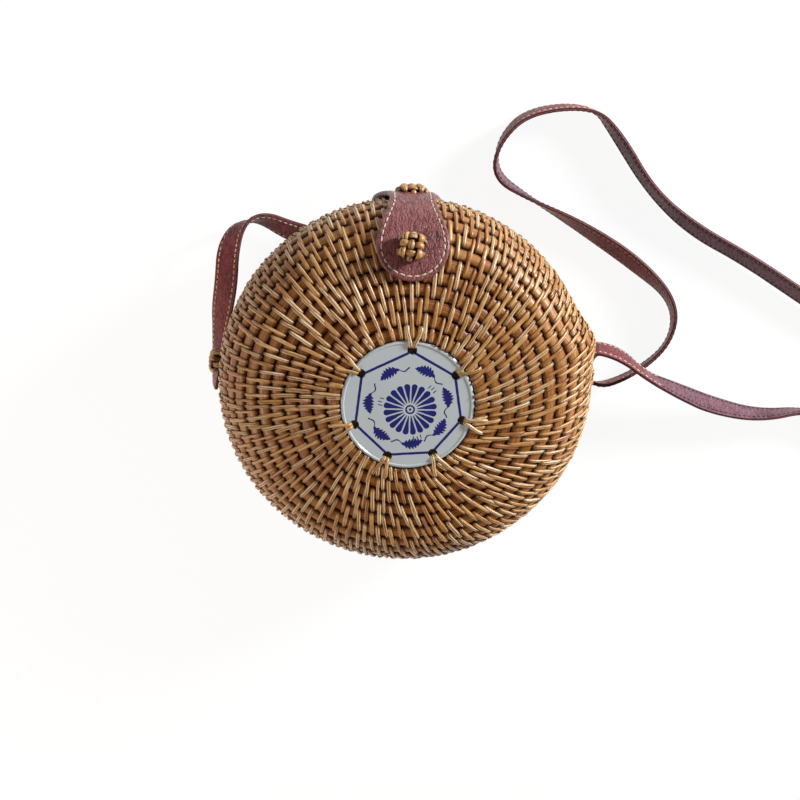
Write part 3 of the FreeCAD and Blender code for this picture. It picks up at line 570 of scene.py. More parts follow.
def strips(path, normal, half_width, height, section=STRIP_SECTION, material=0, **values):
    """A section carried along each path, standing on its normal: point = path + side * half_width
    * section x + up * height * section y. path and normal are (strips, points, 3)."""
    along = np.gradient(path, axis=1)
    side = unit(np.cross(normal, along))
    up = unit(np.cross(along, side))
    c = section[:, 0] * np.broadcast_to(half_width, path.shape[:2])[..., None]
    h = section[:, 1] * np.broadcast_to(height, path.shape[:2])[..., None]
    points = path[:, :, None] + side[:, :, None] * c[..., None] + up[:, :, None] * h[..., None]
    run = np.cumsum(np.linalg.norm(np.diff(path, axis=1, prepend=path[:, :1]), axis=-1), axis=1)
    ring = np.concatenate([c, c[..., :1]], -1)
    shift = np.arange(len(path))[:, None, None] * GRAIN_SHIFT
    uv = np.stack([np.broadcast_to(run[..., None] + shift, ring.shape), ring + shift], -1)
    return skin(points, uv, caps=True, material=material, across=section[:, 0], **values)


print("corners of a strip", len(STRIP_SECTION))

# %% [markdown]
# ## Stitches
# A stitch is a strip of peeled cane that comes up between two rows, crosses two of them and dives
# again. Every one is drawn with its own small errors of place, lean, width and tone, since evenness
# is what gives away a computed weave. The lean sways slowly round the bag, as a hand's pull does.

# %% Stitches
STEPS = np.array([0.0, 0.05, 0.15, 0.32, 0.5, 0.68, 0.85, 0.95, 1.0])
SWAY, END_PLAY, LEAN_PLAY, PLACE_PLAY, LIFT_PLAY = 8.5, 0.25, 2.4, 0.22, 0.08
STITCH_HALF, HALF_PLAY, HALF_RANGE, STITCH_HIGH = 0.88, 0.13, (0.60, 1.25), 0.62
FIRST_IN, POLE_IN, DARK_SHARE = 0.1, 2.2, 0.05


def stitching(half, seed):
    """Strips over two rows each. With e from 0 in the middle to 1 at the ends, a stitch lies 0.20
    over the crests, sags 0.28 in a bell at the middle and drops 0.30 e^4 + 1.25 e^12."""
    rng = np.random.default_rng(seed)
    edges, paths, normals, widths, tones = half.edges, [], [], [], []
    e = np.abs(2 * STEPS - 1)
    lift = 0.20 - 0.28 * np.exp(-((STEPS - 0.5) / 0.11) ** 2) - 0.30 * e**4 - 1.25 * e**12
    for k, middle in enumerate(stitch_angles(half)):
        low = edges[k - 1] if k else edges[0] + (POLE_IN if half.flat else FIRST_IN)
        high = edges[min(k + 1, len(edges) - 1)]
        n, r = len(middle), max(float(half.at(edges[k])[0]), NARROW)
        ends = rng.normal(0, END_PLAY, (n, 2))
        s = low + ends[:, :1] + (high - low + ends[:, 1:] - ends[:, :1]) * STEPS
        s = np.clip(s, edges[0] + FIRST_IN, edges[-1])
        lean = SLANT + SWAY * np.cos(middle + math.pi / 4) + rng.normal(0, LEAN_PLAY, n)
        slant = (np.tan(np.radians(lean)) * half.side)[:, None]
        angle = (middle + rng.normal(0, PLACE_PLAY, n) / r)[:, None] + slant * (s - edges[k]) / r
        rr, hh, a = half.at(s, half.sink(s) - lift - rng.normal(0, LIFT_PLAY, (n, 1)))
        paths.append(half.place(rr, hh, angle))
        normals.append(np.stack([np.sin(a) * np.cos(angle), np.sin(a) * np.sin(angle),
                                 half.side * np.cos(a)], -1))
        wide = rng.normal(STITCH_HALF, HALF_PLAY, (n, 1)).clip(*HALF_RANGE)
        widths.append(wide * (1 - 0.25 * e**8))
        tones.append(rng.beta(2.0, 1.8, n) * (rng.random(n) > DARK_SHARE))
    tone = np.concatenate(tones)[:, None, None]
    # deep paints shade on the ends of each stitch, where it dives between the rows.
    return strips(np.concatenate(paths), np.concatenate(normals), np.concatenate(widths),
                  STITCH_HIGH - 0.18 * e**8, tone=tone, deep=(e**9)[:, None])


for seed, (half, name) in zip((21, 22), HALVES):
    piece = build(name + "_stitches", [stitching(half, seed)], [stitch_cane],
                  [name + "_weave"])
    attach(piece, name + "_half")

# %% [markdown]
# ## Rims
# Each half ends in a rod that is bound round and round with cane. The binding is a row of short
# strips laid round the rod's section, slightly aslant, over a thinner core, so both together keep
# the thickness of the rod in the solids.

# %% Rims
WRAPS, WRAP_POINTS, WRAP_RISE, WRAP_SLANT = 188, 12, 0.55, 3.0
WRAP_FROM, WRAP_TO, WRAP_PLAY, WRAP_IN, CORE_SIDES = 70.0, -235.0, 0.004, 0.02, 10
WRAP_HALF, WRAP_HALF_PLAY, WRAP_HIGH = 1.16, 0.10, 0.60


def rim(half, seed):
    """A ring of the core's radius round the rod's centre, and strips on it that go from WRAP_FROM
    to WRAP_TO degrees round the section while they move on by the slant."""
    rng = np.random.default_rng(seed)
    core, b = ROD - WRAP_RISE, np.arange(CORE_SIDES + 1) * (TURN / CORE_SIDES)
    r, h = ROD_AT[0] + core * np.cos(b), ROD_AT[1] + core * np.sin(b)
    points = half.place(r[:, None], h[:, None], angles[None])[:-1, :-1]
    uv = np.stack(np.broadcast_arrays(angles[None] * RIM, b[:, None] * 2), -1)
    # The core is painted dark, as the shade that shows between the wraps.
    inside = skin(points[None], uv[None], wrap_rows=True, tone=0.3, deep=0.7, across=1.0)
    turn = np.radians(np.linspace(WRAP_FROM, WRAP_TO, WRAP_POINTS))
    middle = np.arange(WRAPS) * (TURN / WRAPS) + rng.normal(0, WRAP_PLAY, WRAPS)
    step = np.linspace(-0.5, 0.5, WRAP_POINTS) * (WRAP_SLANT / RIM) * half.side
    angle = middle[:, None] + step
    lift = core - WRAP_IN
    path = half.place(ROD_AT[0] + lift * np.cos(turn), ROD_AT[1] + lift * np.sin(turn), angle)
    out = np.stack(np.broadcast_arrays(np.cos(turn) * np.cos(angle), np.cos(turn) * np.sin(angle),
                                       half.side * np.sin(turn)), -1)
    tone = rng.beta(2.2, 2.0, WRAPS)[:, None, None]
    half_width = rng.normal(WRAP_HALF, WRAP_HALF_PLAY, (WRAPS, 1))
    return [inside, strips(path, out, half_width, WRAP_HIGH, tone=tone, deep=0.0, material=1)]


for half, name in HALVES:
    piece = build(name + "_rim_binding", rim(half, 31), [row_cane, stitch_cane],
                  [name + "_rim"])
    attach(piece, name + "_half")

# %% [markdown]
# ## Shoulder strap
# The strap is one long flat strip of two stitched layers that lies as it fell. Points joined by
# straight runs would look like bent wire, so its centre line is a NURBS curve that has the route's
# points as control points. A second curve of the same kind carries the roll of the width, so both
# are read at the same steps. A ribbon on edge shows its thickness, one that lies flat its face.

# %% Strap route
STRAP_WIDE, STRAP_THICK, CURVE_STEPS = 12.0, 1.8, 14
# x, y and z in millimetres, and the roll in degrees
ROUTE = [
    (-94.0, -8.0, 21.0, 102), (-91.2, 20.0, 20.6, 128), (-90.1, 31.0, 20.6, 150),
    (-88.0, 45.2, 20.0, 158), (-87.7, 59.6, 15.5, 154), (-83.4, 70.4, 11.5, 114),
    (-72.7, 75.5, 8.5, 54), (-56.6, 67.5, 7.0, 27), (-36.0, 61.5, 3.6, 16),
    (-6.0, 66.0, 1.7, 0), (30.0, 62.0, 1.7, 0), (57.0, 40.0, 1.7, 0), (77.9, 10.9, 4.9, 22),
    (96.2, -9.6, 6.9, 84), (118.2, -0.9, 6.6, 81), (135.8, 16.0, 6.6, 74), (136.0, 37.7, 6.5, 97),
    (112.7, 57.6, 5.5, 132), (82.8, 75.7, 6.1, 118), (57.7, 87.9, 6.5, 88), (40.3, 98.4, 6.4, 71),
    (42.4, 115.5, 6.5, 91), (55.9, 129.6, 6.4, 98), (86.5, 132.8, 6.4, 94), (99.1, 119.4, 6.4, 71),
    (117.8, 92.9, 6.4, 76), (141.1, 74.2, 6.1, 57), (170.1, 60.0, 6.2, 58), (200.0, 42.0, 6.2, 56),
    (231.9, 23.2, 6.1, 56), (267.9, 19.9, 6.3, 66), (291.9, 0.0, 6.5, 80), (276.2, -23.8, 6.5, 74),
    (245.6, -28.9, 6.5, 88), (212.3, -17.2, 6.4, 103), (185.8, -21.7, 7.0, 78),
    (158.4, -15.0, 11.5, 58), (138.4, -5.6, 18.5, 68), (121.7, 2.3, 22.0, 84),
    (106.0, 14.8, 22.5, 70), (87.8, 17.5, 20.8, 80), (91.2, -10.0, 21.0, 90),
]


def nurbs_points(control):
    """Points along a NURBS curve of order 3 with those control points."""
    curve = bpy.data.curves.new("route", "CURVE")
    curve.dimensions = "3D"
    spline = curve.splines.new("NURBS")
    spline.points.add(len(control) - 1)
    spline.points.foreach_set("co", np.column_stack([control, np.ones(len(control))]).ravel())
    spline.order_u = 3
    spline.use_endpoint_u = True
    spline.resolution_u = CURVE_STEPS
    holder = bpy.data.objects.new("route", curve)
    mesh = bpy.data.meshes.new_from_object(holder)
    points = np.zeros(len(mesh.vertices) * 3)
    mesh.vertices.foreach_get("co", points)
    bpy.data.meshes.remove(mesh)
    bpy.data.objects.remove(holder)
    bpy.data.curves.remove(curve)
    return points.reshape(-1, 3)


route, UP = np.array(ROUTE), np.array((0.0, 0.0, 1.0))
line = nurbs_points(route[:, :3] * MM) / MM
roll = np.radians(nurbs_points(route[:, 3:] * (1.0, 0.0, 0.0))[:, :1])
heading = unit(np.gradient(line, axis=0))
level = unit(np.cross(UP, heading))
wide = unit(np.cos(roll) * level + np.sin(roll) * UP)
wide = unit(wide - heading * np.sum(wide * heading, 1, keepdims=True))
face = np.cross(heading, wide)
run = np.concatenate([[0.0], np.cumsum(np.linalg.norm(np.diff(line, axis=0), axis=1))])
print("strap points", len(line), "length", round(float(run[-1]), 1))

# %% [markdown]
# ## Leather
# The flap and the strap are one reddish brown leather, crinkled by use. Voronoi cells alone look
# like scales, so the crinkles are where a noise crosses its middle value, which gives long
# wandering lines, at two scales, and the cells only add pores. The strap's cut edges are painted
# dark, with a paler line where its two layers meet, and the flap is waxed to a higher shine.

# %% Leather
def leather_finish(name, grain, depth, shine, edge_colour, seam_colour, *faces):
    """Leather: its height is a sum of lines, wider folds, cells and fine noise, and its colour
    goes by the height over clouds of tone. A face is a dark and a light colour; a second one
    shows where the value side is 0. edge and seam mark where those colours go."""
    f = Finish(name, {"IOR": 1.46, "Specular IOR Level": shine, "Coat Weight": shine,
                      "Coat Roughness": 0.30})
    at = f.place()
    cloud = f.noise(at, 75.0)
    fine = f.noise(at, grain * 2.4, detail=4.0, roughness=0.65)
    lines = abs(f.noise(at, grain * 0.5, (1.3, 0.6, 0.6), 2.0, 0.4) - 0.5).rise(0.0, 0.07)
    folds = abs(f.noise(at, grain * 0.26, (1.4, 0.5, 0.5), 2.0) - 0.5).rise(0.0, 0.09)
    cells = f.node("ShaderNodeTexVoronoi", {"feature": "DISTANCE_TO_EDGE"},
                   {"Vector": at, "Scale": grain * 1.3, "Randomness": 1.0}).rise(0.0, 0.14)
    height = lines * 0.50 + folds * 0.45 + cells * 0.10 + fine * 0.06
    # Colour follows the height too: painted shade in the creases and a painted highlight on the
    # leather between them.
    mixed = (cloud * 0.70 + height * 0.50 - 0.34).clamp()
    colours = [f.ramp(mixed, (0.12, dark), (0.75, light)) for dark, light in faces]
    colour = colours[0] if len(faces) == 1 else f.mix(f.value("side"), colours[1], colours[0])
    colour = f.mix(f.value("edge"), colour, edge_colour)
    colour = f.mix(f.value("seam"), colour, seam_colour)
    f.feed(Base_Color=colour, Roughness=(0.46 - height * 0.14 + fine * 0.10).clamp(0.26, 0.9))
    f.bump(height, depth, 0.9)
    return f.done()


FLAP_EDGE = (0.250, 0.105, 0.125)
STRAP_EDGE, STRAP_JOINT = (0.095, 0.026, 0.028), (0.480, 0.210, 0.195)
flap_leather = leather_finish("flap_leather", 950.0, 0.0005, 0.42, FLAP_EDGE, FLAP_EDGE,
                              ((0.110, 0.020, 0.022), (0.400, 0.125, 0.128)))
strap_leather = leather_finish("strap_leather", 1500.0, 0.00022, 0.10, STRAP_EDGE, STRAP_JOINT,
                               ((0.145, 0.031, 0.038), (0.400, 0.120, 0.128)),
                               ((0.098, 0.041, 0.054), (0.290, 0.146, 0.178)))

# %% [markdown]
# ## Thread
# The seams are sewn with waxed cream thread, which is dark brown along part of the strap. A twisted
# yarn could be modelled strand by strand, but at this size a noise along the thread is enough.

# %% Thread
yarn = Finish("cream_thread", {"Roughness": 0.7, "Sheen Weight": 0.2})
twist = yarn.noise(yarn.uv(), 1.0, (3.0, 1.2, 1.0), 2.0)
yarn.feed(Base_Color=yarn.ramp(twist, (0.3, (0.56, 0.43, 0.28)), (0.7, (0.84, 0.72, 0.53))))
cream_thread = yarn.done()
dark_thread = Finish("brown_thread", {"Roughness": 0.7,
                                      "Base Color": (0.040, 0.014, 0.014, 1.0)}).done()

# %% [markdown]
# ## The strap itself
# The section is a flat bar with rounded edges, a small crown on each face and a shallow crease
# under each line of stitches. A bevelled and tilted curve could give its shape, but a closed grid
# carried along the route also keeps the values that mark edges and faces. One face is red, the
# other is mauve and redder near both ends.

# %% Strap
half_w, half_t, SEAM_AT, CREASE = STRAP_WIDE / 2, STRAP_THICK / 2, 0.72, 0.80
LEFT_RED, LEFT_END, LEFT_FADE = 0.6, 150.0, 60.0
RIGHT_RED, RIGHT_END, RIGHT_FADE = 0.8, 75.0, 25.0
STRAP_FACE = [(1.00, 0.16), (1.00, 0.60), (0.965, 0.82), (0.90, 0.90), (0.77, 0.93),
              (SEAM_AT, CREASE), (0.66, 0.94), (0.35, 1.0), (0.0, 1.02)]
upper = STRAP_FACE + [(-a, b) for a, b in STRAP_FACE[-2::-1]] + [(-0.985, 0.0)]
strap_section = np.array(upper + [(-a, -b) for a, b in upper])
strap_edge = (np.abs(strap_section[:, 0]) > 0.98).astype(float)
strap_seam = (strap_section[:, 1] == 0.0).astype(float)
red_left = LEFT_RED * (1 - smooth((run - LEFT_END) / LEFT_FADE))
red_right = RIGHT_RED * smooth((run - run[-1] + RIGHT_END) / RIGHT_FADE)
strap_side = np.where(strap_section[:, 1] < 0, 1.0, (red_left + red_right)[:, None])
points = (line[:, None] + wide[:, None] * strap_section[None, :, :1] * half_w
          + face[:, None] * strap_section[None, :, 1:] * half_t)
loop = np.concatenate([strap_section, strap_section[:1]])
strap_uv = np.stack(np.broadcast_arrays(run[:, None], loop[None, :, 0] * half_w), -1)
leather = skin(points[None], strap_uv[None], caps=True,
               edge=strap_edge, side=strap_side, seam=strap_seam)
strap = build("strap", [leather], [strap_leather], ["shoulder_strap"])
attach(strap, "back_half")

# %% [markdown]
# ## The strap's seams
# Two lines of saddle stitch hold the layers together. Each stitch is a short thread that dips into
# the leather at both ends, laid at equal lengths on both faces. Real threads catch the light, which
# a painted line would not. With them the strap is whole.

# %% Strap seams
THREAD_SECTION = np.array([(-1, 0), (-0.6, 0.8), (0.6, 0.8), (1, 0), (0, -0.6)])
THREAD_STEP, THREAD_LENGTH, THREAD_THICK, THREAD_POINTS = 2.7, 1.8, 0.38, 5
PALE_LEFT, PALE_RIGHT = 190.0, 66.0


def threads(sample, starts, length, thick, material=0):
    """Short threads along a line: sample(s) gives points and normals at lengths s. With e from 0
    in the middle to 1 at the ends, a thread stands thick * (0.15 - e^4) off the line."""
    t = np.linspace(0.0, 1.0, THREAD_POINTS)
    at, normal = sample(starts[:, None] + length * t)
    e = np.abs(2 * t - 1)
    stand = thick * (0.15 - 1.0 * e ** 4)
    return strips(at + normal * stand[None, :, None], normal, thick * (1 - 0.25 * e ** 3), thick,
                  THREAD_SECTION, material=material)


def on_strap(across, up):
    """Sampler of a line on the strap, across its width and on its upper or lower face."""
    def sample(s):
        """Centre + width * across + face * up at lengths s, and the face's normal there."""
        centre, w, f = (np.stack([np.interp(s, run, v[:, n]) for n in range(3)], -1)
                        for v in (line, wide, face))
        w, f = unit(w), unit(f)
        return centre + w * across * half_w + f * up * half_t * CREASE, f * up
    return sample


starts = np.arange(3.0, run[-1] - 4.0, THREAD_STEP)
pale = (starts < PALE_LEFT) | (starts > run[-1] - PALE_RIGHT)
seams = [threads(on_strap(a, b), starts[part], THREAD_LENGTH, THREAD_THICK, material=dark)
         for a in (-SEAM_AT, SEAM_AT)
         for b, part, dark in ((-1, starts > 0, 0), (1, pale, 0), (1, ~pale, 1))]
strap_thread = build("strap_thread", seams, [cream_thread, dark_thread])
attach(strap_thread, "back_half")

# %% [markdown]
# ## Flap
# The flap is one piece of leather: a lobe on the front with a buttonhole, a waist over the rim and
# a lobe on the back. It is cut flat and then bent, so the outline is drawn flat, filled with rings
# that follow the edge, and laid round the shoulder. Rings that follow the edge give the border,
# the crease of the seam and the rounded rim for free.

# %% Flap outline
LEATHER, STAND = 2.6, 0.3
BEND = SHOULDER + STAND + LEATHER / 2
STOP = math.pi / 2 - front.turn
FLAP_FROM, FLAP_WIDEST, FLAP_TIP, FLAP_HALF, WAIST_HALF = 9.0, 35.5, 52.0, 16.5, 10.5
BACK_WIDEST, BACK_TIP, BACK_HALF, LOBES_MEET = -19.8, -33.0, 15.0, 4.0
TIP_POWER, TAIL_POWER, OUTLINE_STEPS, OUTLINE_POINTS = 2.15, 2.1, 400, 240
RIGHT_WAIST, LEFT_WAIST, LEFT_WIDER, KNOB_LEAN = -4.4, 3.4, 3.5, 67.5
KNOB_AT = BEND * math.radians(KNOB_LEAN)


def bent(u, v, up):
    """Flat leather point to space: u goes round an arc of radius BEND from the seam and straight
    on past its ends, v goes across and up stands outwards."""
    a = np.clip(u / BEND, -math.pi / 2, STOP)
    rest = u - a * BEND
    y = ARC + (BEND + up) * np.cos(a) - rest * np.sin(a)
    z = HALF + (BEND + up) * np.sin(a) + rest * np.cos(a)
    return np.stack(np.broadcast_arrays(v, y, z), -1)


def tip(far, power):
    """Rounded end of a lobe: sqrt(1 - far ** power), 1 at its widest and 0 at its tip."""
    return np.maximum(0, 1 - np.abs(far) ** power) ** 0.5


def outline_half(u, waist_end, back_half):
    """Half width of the leather at u: front lobe, waist and back lobe, eased into each other."""
    grown = smooth((u - FLAP_FROM) / (FLAP_WIDEST - FLAP_FROM))
    lobe = WAIST_HALF + (FLAP_HALF - WAIST_HALF) * grown
    end = FLAP_HALF * tip((u - FLAP_WIDEST) / (FLAP_TIP - FLAP_WIDEST), TIP_POWER)
    lobe = np.where(u > FLAP_WIDEST, end, lobe)
    grown = smooth((waist_end - u) / (waist_end - BACK_WIDEST))
    tail = WAIST_HALF + (back_half - WAIST_HALF) * grown
    end = back_half * tip((BACK_WIDEST - u) / (BACK_WIDEST - BACK_TIP), TAIL_POWER)
    return np.where(u > LOBES_MEET, lobe, np.where(u < BACK_WIDEST, end, tail))


def even(points, count):
    """The closed line resampled to equal lengths, and its length."""
    loop = np.concatenate([points, points[:1]])
    s = np.concatenate([[0.0], np.cumsum(np.linalg.norm(np.diff(loop, axis=0), axis=1))])
    at = np.arange(count) * s[-1] / count
    return np.stack([np.interp(at, s, loop[:, n]) for n in range(2)], -1), s[-1]


spread = (1 - np.cos(np.linspace(0, np.pi, OUTLINE_STEPS))) / 2
u_side = BACK_TIP + (FLAP_TIP - BACK_TIP) * spread
right_half = outline_half(u_side, RIGHT_WAIST, BACK_HALF)
left_half = outline_half(u_side, LEFT_WAIST, BACK_HALF + LEFT_WIDER)
right_edge = np.stack([u_side, right_half], -1)
left_edge = np.stack([u_side, -left_half], -1)[::-1]
outline, outline_length = even(np.concatenate([right_edge, left_edge[1:-1]]), OUTLINE_POINTS)
print("flap outline", round(outline_length, 1), "mm round")

# %% [markdown]
# ## Inside the flap's outline
# Towards the middle the rings shrink to a line along the leather's spine and open round the
# buttonhole, whose cut ends in a point. Cutting the hole out of a finished sheet would leave ragged
# faces; here it is simply where the innermost ring stays open.

# %% Flap rings
BUTTONHOLE, HOLE_CUT, BORDER, SPINE_END = 3.0, 2.6, 5.0, 11.0


def inset_loop(distance):
    """The outline moved in along its normals, then relaxed: half itself, a quarter each side."""
    d = np.roll(outline, -1, 0) - np.roll(outline, 1, 0)
    loop = outline + unit(np.stack([d[:, 1], -d[:, 0]], -1)) * distance
    for _ in range(int(distance * 2)):
        loop = 0.5 * loop + 0.25 * (np.roll(loop, 1, 0) + np.roll(loop, -1, 0))
    return loop


border = inset_loop(BORDER)
side_of = np.sign(border[:, 1] + 1e-9)
hole_from, hole_to = KNOB_AT - BUTTONHOLE, FLAP_TIP - BORDER
way = np.clip((border[:, 0] - hole_from) / (hole_to - hole_from), 0, 1)
in_hole = border[:, 0] > hole_from
bow = np.pi * (1 - way)
hole_u = KNOB_AT + BUTTONHOLE * np.cos(bow) + HOLE_CUT * np.maximum(0, np.cos(bow)) ** 12
hole_v = side_of * BUTTONHOLE * np.sin(bow)
spine_u = np.clip(border[:, 0], BACK_TIP + SPINE_END, hole_from)
heart = np.where(in_hole[:, None], np.stack([hole_u, hole_v], -1),
                 np.stack([spine_u, np.zeros(len(border))], -1))
print("points round the buttonhole", int(in_hole.sum()))

# %% [markdown]
# ## The flap's leather
# The rings are stacked from the middle of the underside, out over the rounded edge, and back to the
# middle of the top, each with its height in the leather. The wall of the buttonhole joins the last
# ring to the first. Over the rim the leather bends.

# %% Flap leather
half_l, SEAM_IN = LEATHER / 2, 2.25
TOP = [(0.3, 0.78), (0.8, 0.97), (1.5, 1.0), (1.9, 0.93), (SEAM_IN, 0.80), (2.6, 0.93),
       (3.2, 1.04), (BORDER, 1.08)]
BOTTOM = [(BORDER, -1.0), (3.0, -1.0), (1.2, -0.98), (0.4, -0.8)]
CUT = [(0.0, -0.4), (0.0, 0.4)]
INTO = np.array([0.25, 0.5, 0.72, 0.88, 0.96, 1.0])
rings = [(border + (heart - border) * k, -1.0) for k in INTO[::-1]]
rings += [(inset_loop(d), n) for d, n in BOTTOM + CUT + TOP]
rings += [(border + (heart - border) * k, 1.08 - 0.06 * k) for k in INTO]
flat = np.stack([loop for loop, _ in rings])
up = np.array([n for _, n in rings])[:, None] * half_l
rows_n, loop_n = flat.shape[:2]
flap_uv = np.concatenate([np.concatenate([flat, flat[:, :1]], 1)] * 2)[:rows_n + 1]
edge = np.zeros((rows_n, loop_n))
edge_row = len(INTO) + len(BOTTOM)
edge[edge_row:edge_row + len(CUT)] = 1.0
shape = skin(bent(flat[..., 0], flat[..., 1], up)[None], flap_uv[None], wrap_rows=True, edge=edge)
last_row = np.arange(len(shape["quads"])) // loop_n == rows_n - 1
closed = np.tile(~(in_hole | np.roll(in_hole, -1)), rows_n)
keep = ~(last_row & closed)
shape["quads"], shape["uv"] = shape["quads"][keep], shape["uv"][keep]
flap = build("flap_leather", [shape], [flap_leather], ["closure_flap", "flap_anchor"],
             weld=True)

# %% [markdown]
# ## The flap's seam
# A line of cream thread runs round the whole flap in its crease. It is sampled on the flat outline
# at equal lengths and bent with the leather, so the stitches keep their size round the curves.

# %% Flap seam
FLAP_STEP, FLAP_THREAD, FLAP_THICK, FLAP_CREASE, SEAM_POINTS = 3.25, 2.4, 0.40, 0.86, 480
seam_loop, seam_length = even(inset_loop(SEAM_IN), SEAM_POINTS)
seam_run = np.arange(len(seam_loop) + 1) * seam_length / len(seam_loop)
seam_closed = np.concatenate([seam_loop, seam_loop[:1]])


def on_flap(s):
    """Points and normals of the seam at lengths s: the normal leans by the angle of the bend."""
    u, v = (np.interp(s % seam_length, seam_run, seam_closed[:, n]) for n in range(2))
    a = np.clip(u / BEND, -math.pi / 2, STOP)
    return bent(u, v, half_l * FLAP_CREASE), np.stack([0.0 * a, np.cos(a), np.sin(a)], -1)


flap_count = round(seam_length / FLAP_STEP)
flap_starts = np.arange(flap_count) * seam_length / flap_count
flap_seam = threads(on_flap, flap_starts, FLAP_THREAD, FLAP_THICK)
flap_thread = build("flap_thread", [flap_seam], [cream_thread])
for piece in (flap, flap_thread):
    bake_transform(piece)

# %% [markdown]
# ## Knots
# The closing knob, the tie of the flap and the two knots of the strap are small woven lumps. Each
# is a plain weave of a few broad strips laid over a dome, one set lengthwise and one across, going
# over and under in turn, with a core inside that closes the gaps and is painted dark as the shade
# in them. Where a strip dives under another, shade is painted on it too. A lump with a woven
# texture would have a smooth outline, and these are too rough for that.

# %% Woven knots
KNOT_POINTS, CORE_SHARE, CORE_RINGS, CORE_ROUND = 21, 0.84, 9, 16
BLUNT_SIDE, BLUNT_TOP, BLUNT_CORE, KNOT_PLAY, KNOT_SNAKE = 0.72, 0.62, 0.8, 0.16, 0.35


def rounded(t, power):
    """The power of the size of t, with t's sign: below 1 it makes a circle blunt."""
    return np.sign(t) * np.abs(t) ** power


def woven_knot(at, axes, size, counts, width, seed, reach=108.0, amount=0.8):
    """Strips over a blunt dome: size is its half length, half breadth and height along the axes.
    A cosine lifts a strip by amount over every other one that it meets; it swells where it lies
    on top and pinches where it dives."""
    rng = np.random.default_rng(seed)
    at, axes = np.array(at), np.array(axes)
    phi = np.radians(np.linspace(-reach, reach, KNOT_POINTS))
    found = []
    for along in (0, 1):
        other, n = 1 - along, counts[1 - along]
        rank = np.arange(n) - (n - 1) / 2
        spot = rank * 2 * size[other] / (n + 0.25) + rng.normal(0, KNOT_PLAY, n)
        low = np.sqrt(np.maximum(0.25, 1 - np.abs(spot / (size[other] * 1.10)) ** 4))
        a = size[along] * rounded(np.sin(phi), BLUNT_SIDE)[None] * (0.86 + 0.14 * low[:, None])
        c = size[2] * rounded(np.cos(phi), BLUNT_TOP)[None] * low[:, None]
        b = spot[:, None] * (1 - 0.12 * (1 - np.cos(phi)))[None]
        b = b + KNOT_SNAKE * np.sin(phi + 6.28 * rng.random((n, 1)))
        gap = 2 * size[along] / (counts[along] + 0.25)
        wave = np.cos(np.pi * (a / gap + rank[:, None] + (counts[along] - 1) / 2 + along))
        local = np.stack([a, b, c] if along == 0 else [b, a, c], -1)
        normal = unit(local / np.array(size) ** 2)
        path = at + (local + normal * (amount * wave)[..., None]) @ axes
        tone = rng.beta(2.0, 2.4, n)[:, None, None] * 0.6 + 0.22
        # Painted shade where a strip dives under the other set.
        deep = np.clip(0.38 - 1.0 * wave, 0, 1)[..., None]
        found.append(strips(path, normal @ axes, width * (0.84 + 0.22 * wave),
                            0.62 + 0.14 * wave, tone=tone, deep=deep, material=1))
    lat = np.radians(np.linspace(-88, 88, CORE_RINGS))[:, None]
    lon = np.arange(CORE_ROUND + 1) * (TURN / CORE_ROUND)
    ball = np.stack(np.broadcast_arrays(np.cos(lat) * np.cos(lon), np.cos(lat) * np.sin(lon),
                                        np.sin(lat)), -1)
    core = at + (rounded(ball[:, :-1], BLUNT_CORE) * np.array(size) * CORE_SHARE) @ axes
    uv = np.stack(np.broadcast_arrays(lon[None] * 6, lat * 6), -1)
    # The core is painted dark, as the shade in the gaps between the strips.
    return [skin(core[None], uv[None], caps=True, tone=0.1, deep=0.9, across=1.0)] + found


def knot(name, node, body, place, size, counts, width, seed, **form):
    """A woven knot at a place, as the piece that stands for a node and rides on a body."""
    piece = build(name, woven_knot(*place, size, counts, width, seed, **form),
                  [row_cane, stitch_cane], [node])
    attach(piece, body)


print("points along a knot's strip", KNOT_POINTS)

# %% [markdown]
# ## Placing the knots
# The knob stands on the flap and the tie sits behind the rim, both square to the shoulder's curve
# and a little turned, as they were tied by hand. The strap's knots sit on the sides. The left one
# is plump, the right one is kept flat.

# %% Knots
KNOB_FOOT, KEEPER_HIGH = SHOULDER + STAND + LEATHER, 21.0


def shoulder_axes(degrees, out, turn=0.0, tilt=0.0, across=0.0):
    """Place and axes at the shoulder on the flap's side: across, along the rim's curve, outwards.
    turn spins the first two about the third, and tilt leans all of them along the curve."""
    a, t = math.radians(degrees), math.radians(turn)
    at = (across, ARC + out * math.cos(a), HALF + out * math.sin(a))
    a += math.radians(tilt)
    x, y, z = np.array(((1.0, 0.0, 0.0), (0.0, -math.sin(a), math.cos(a)),
                        (0.0, math.cos(a), math.sin(a))))
    return at, (x * math.cos(t) + y * math.sin(t), -x * math.sin(t) + y * math.cos(t), z)


knot("closing_knob", "closure_knob", "front_half",
     shoulder_axes(KNOB_LEAN, KNOB_FOOT + 2.4, turn=8.0, across=-0.7),
     (5.3, 5.6, 4.3), (3, 3), 1.5, 41, amount=0.95)
knot("flap_tie", "flap_knot", "back_half",
     shoulder_axes(-6.5, KNOB_FOOT - 0.3, turn=-4.0, tilt=8.0),
     (6.6, 4.6, 2.3), (3, 3), 1.4, 42, reach=100.0)
for side, name, out, along, size in ((-1, "left", 91.4, 5.4, (7.6, 4.6, 3.9)),
                                     (1, "right", 90.2, 3.0, (7.2, 5.2, 2.6))):
    axes = ((0, 0, 1.0), (0, side * 1.0, 0), (side * 1.0, 0, 0))
    knot("strap_knot_" + name, "strap_keeper_" + name, "back_half",
         ((side * out, along, KEEPER_HIGH), axes), size, (4, 3), 1.5, 43 + side)

# %% [markdown]
# ## Disc
# The disc is glazed earthenware with brush lines in blue. A picture laid on it would blur from
# near by, so the pattern is drawn by formulas on the disc's own coordinates: a mask is 1 where a
# distance is under a half width. The coordinates are first shaken by a little noise, so the lines
# waver as a brush does. In the middle is a rosette with three groups of short strokes round it.

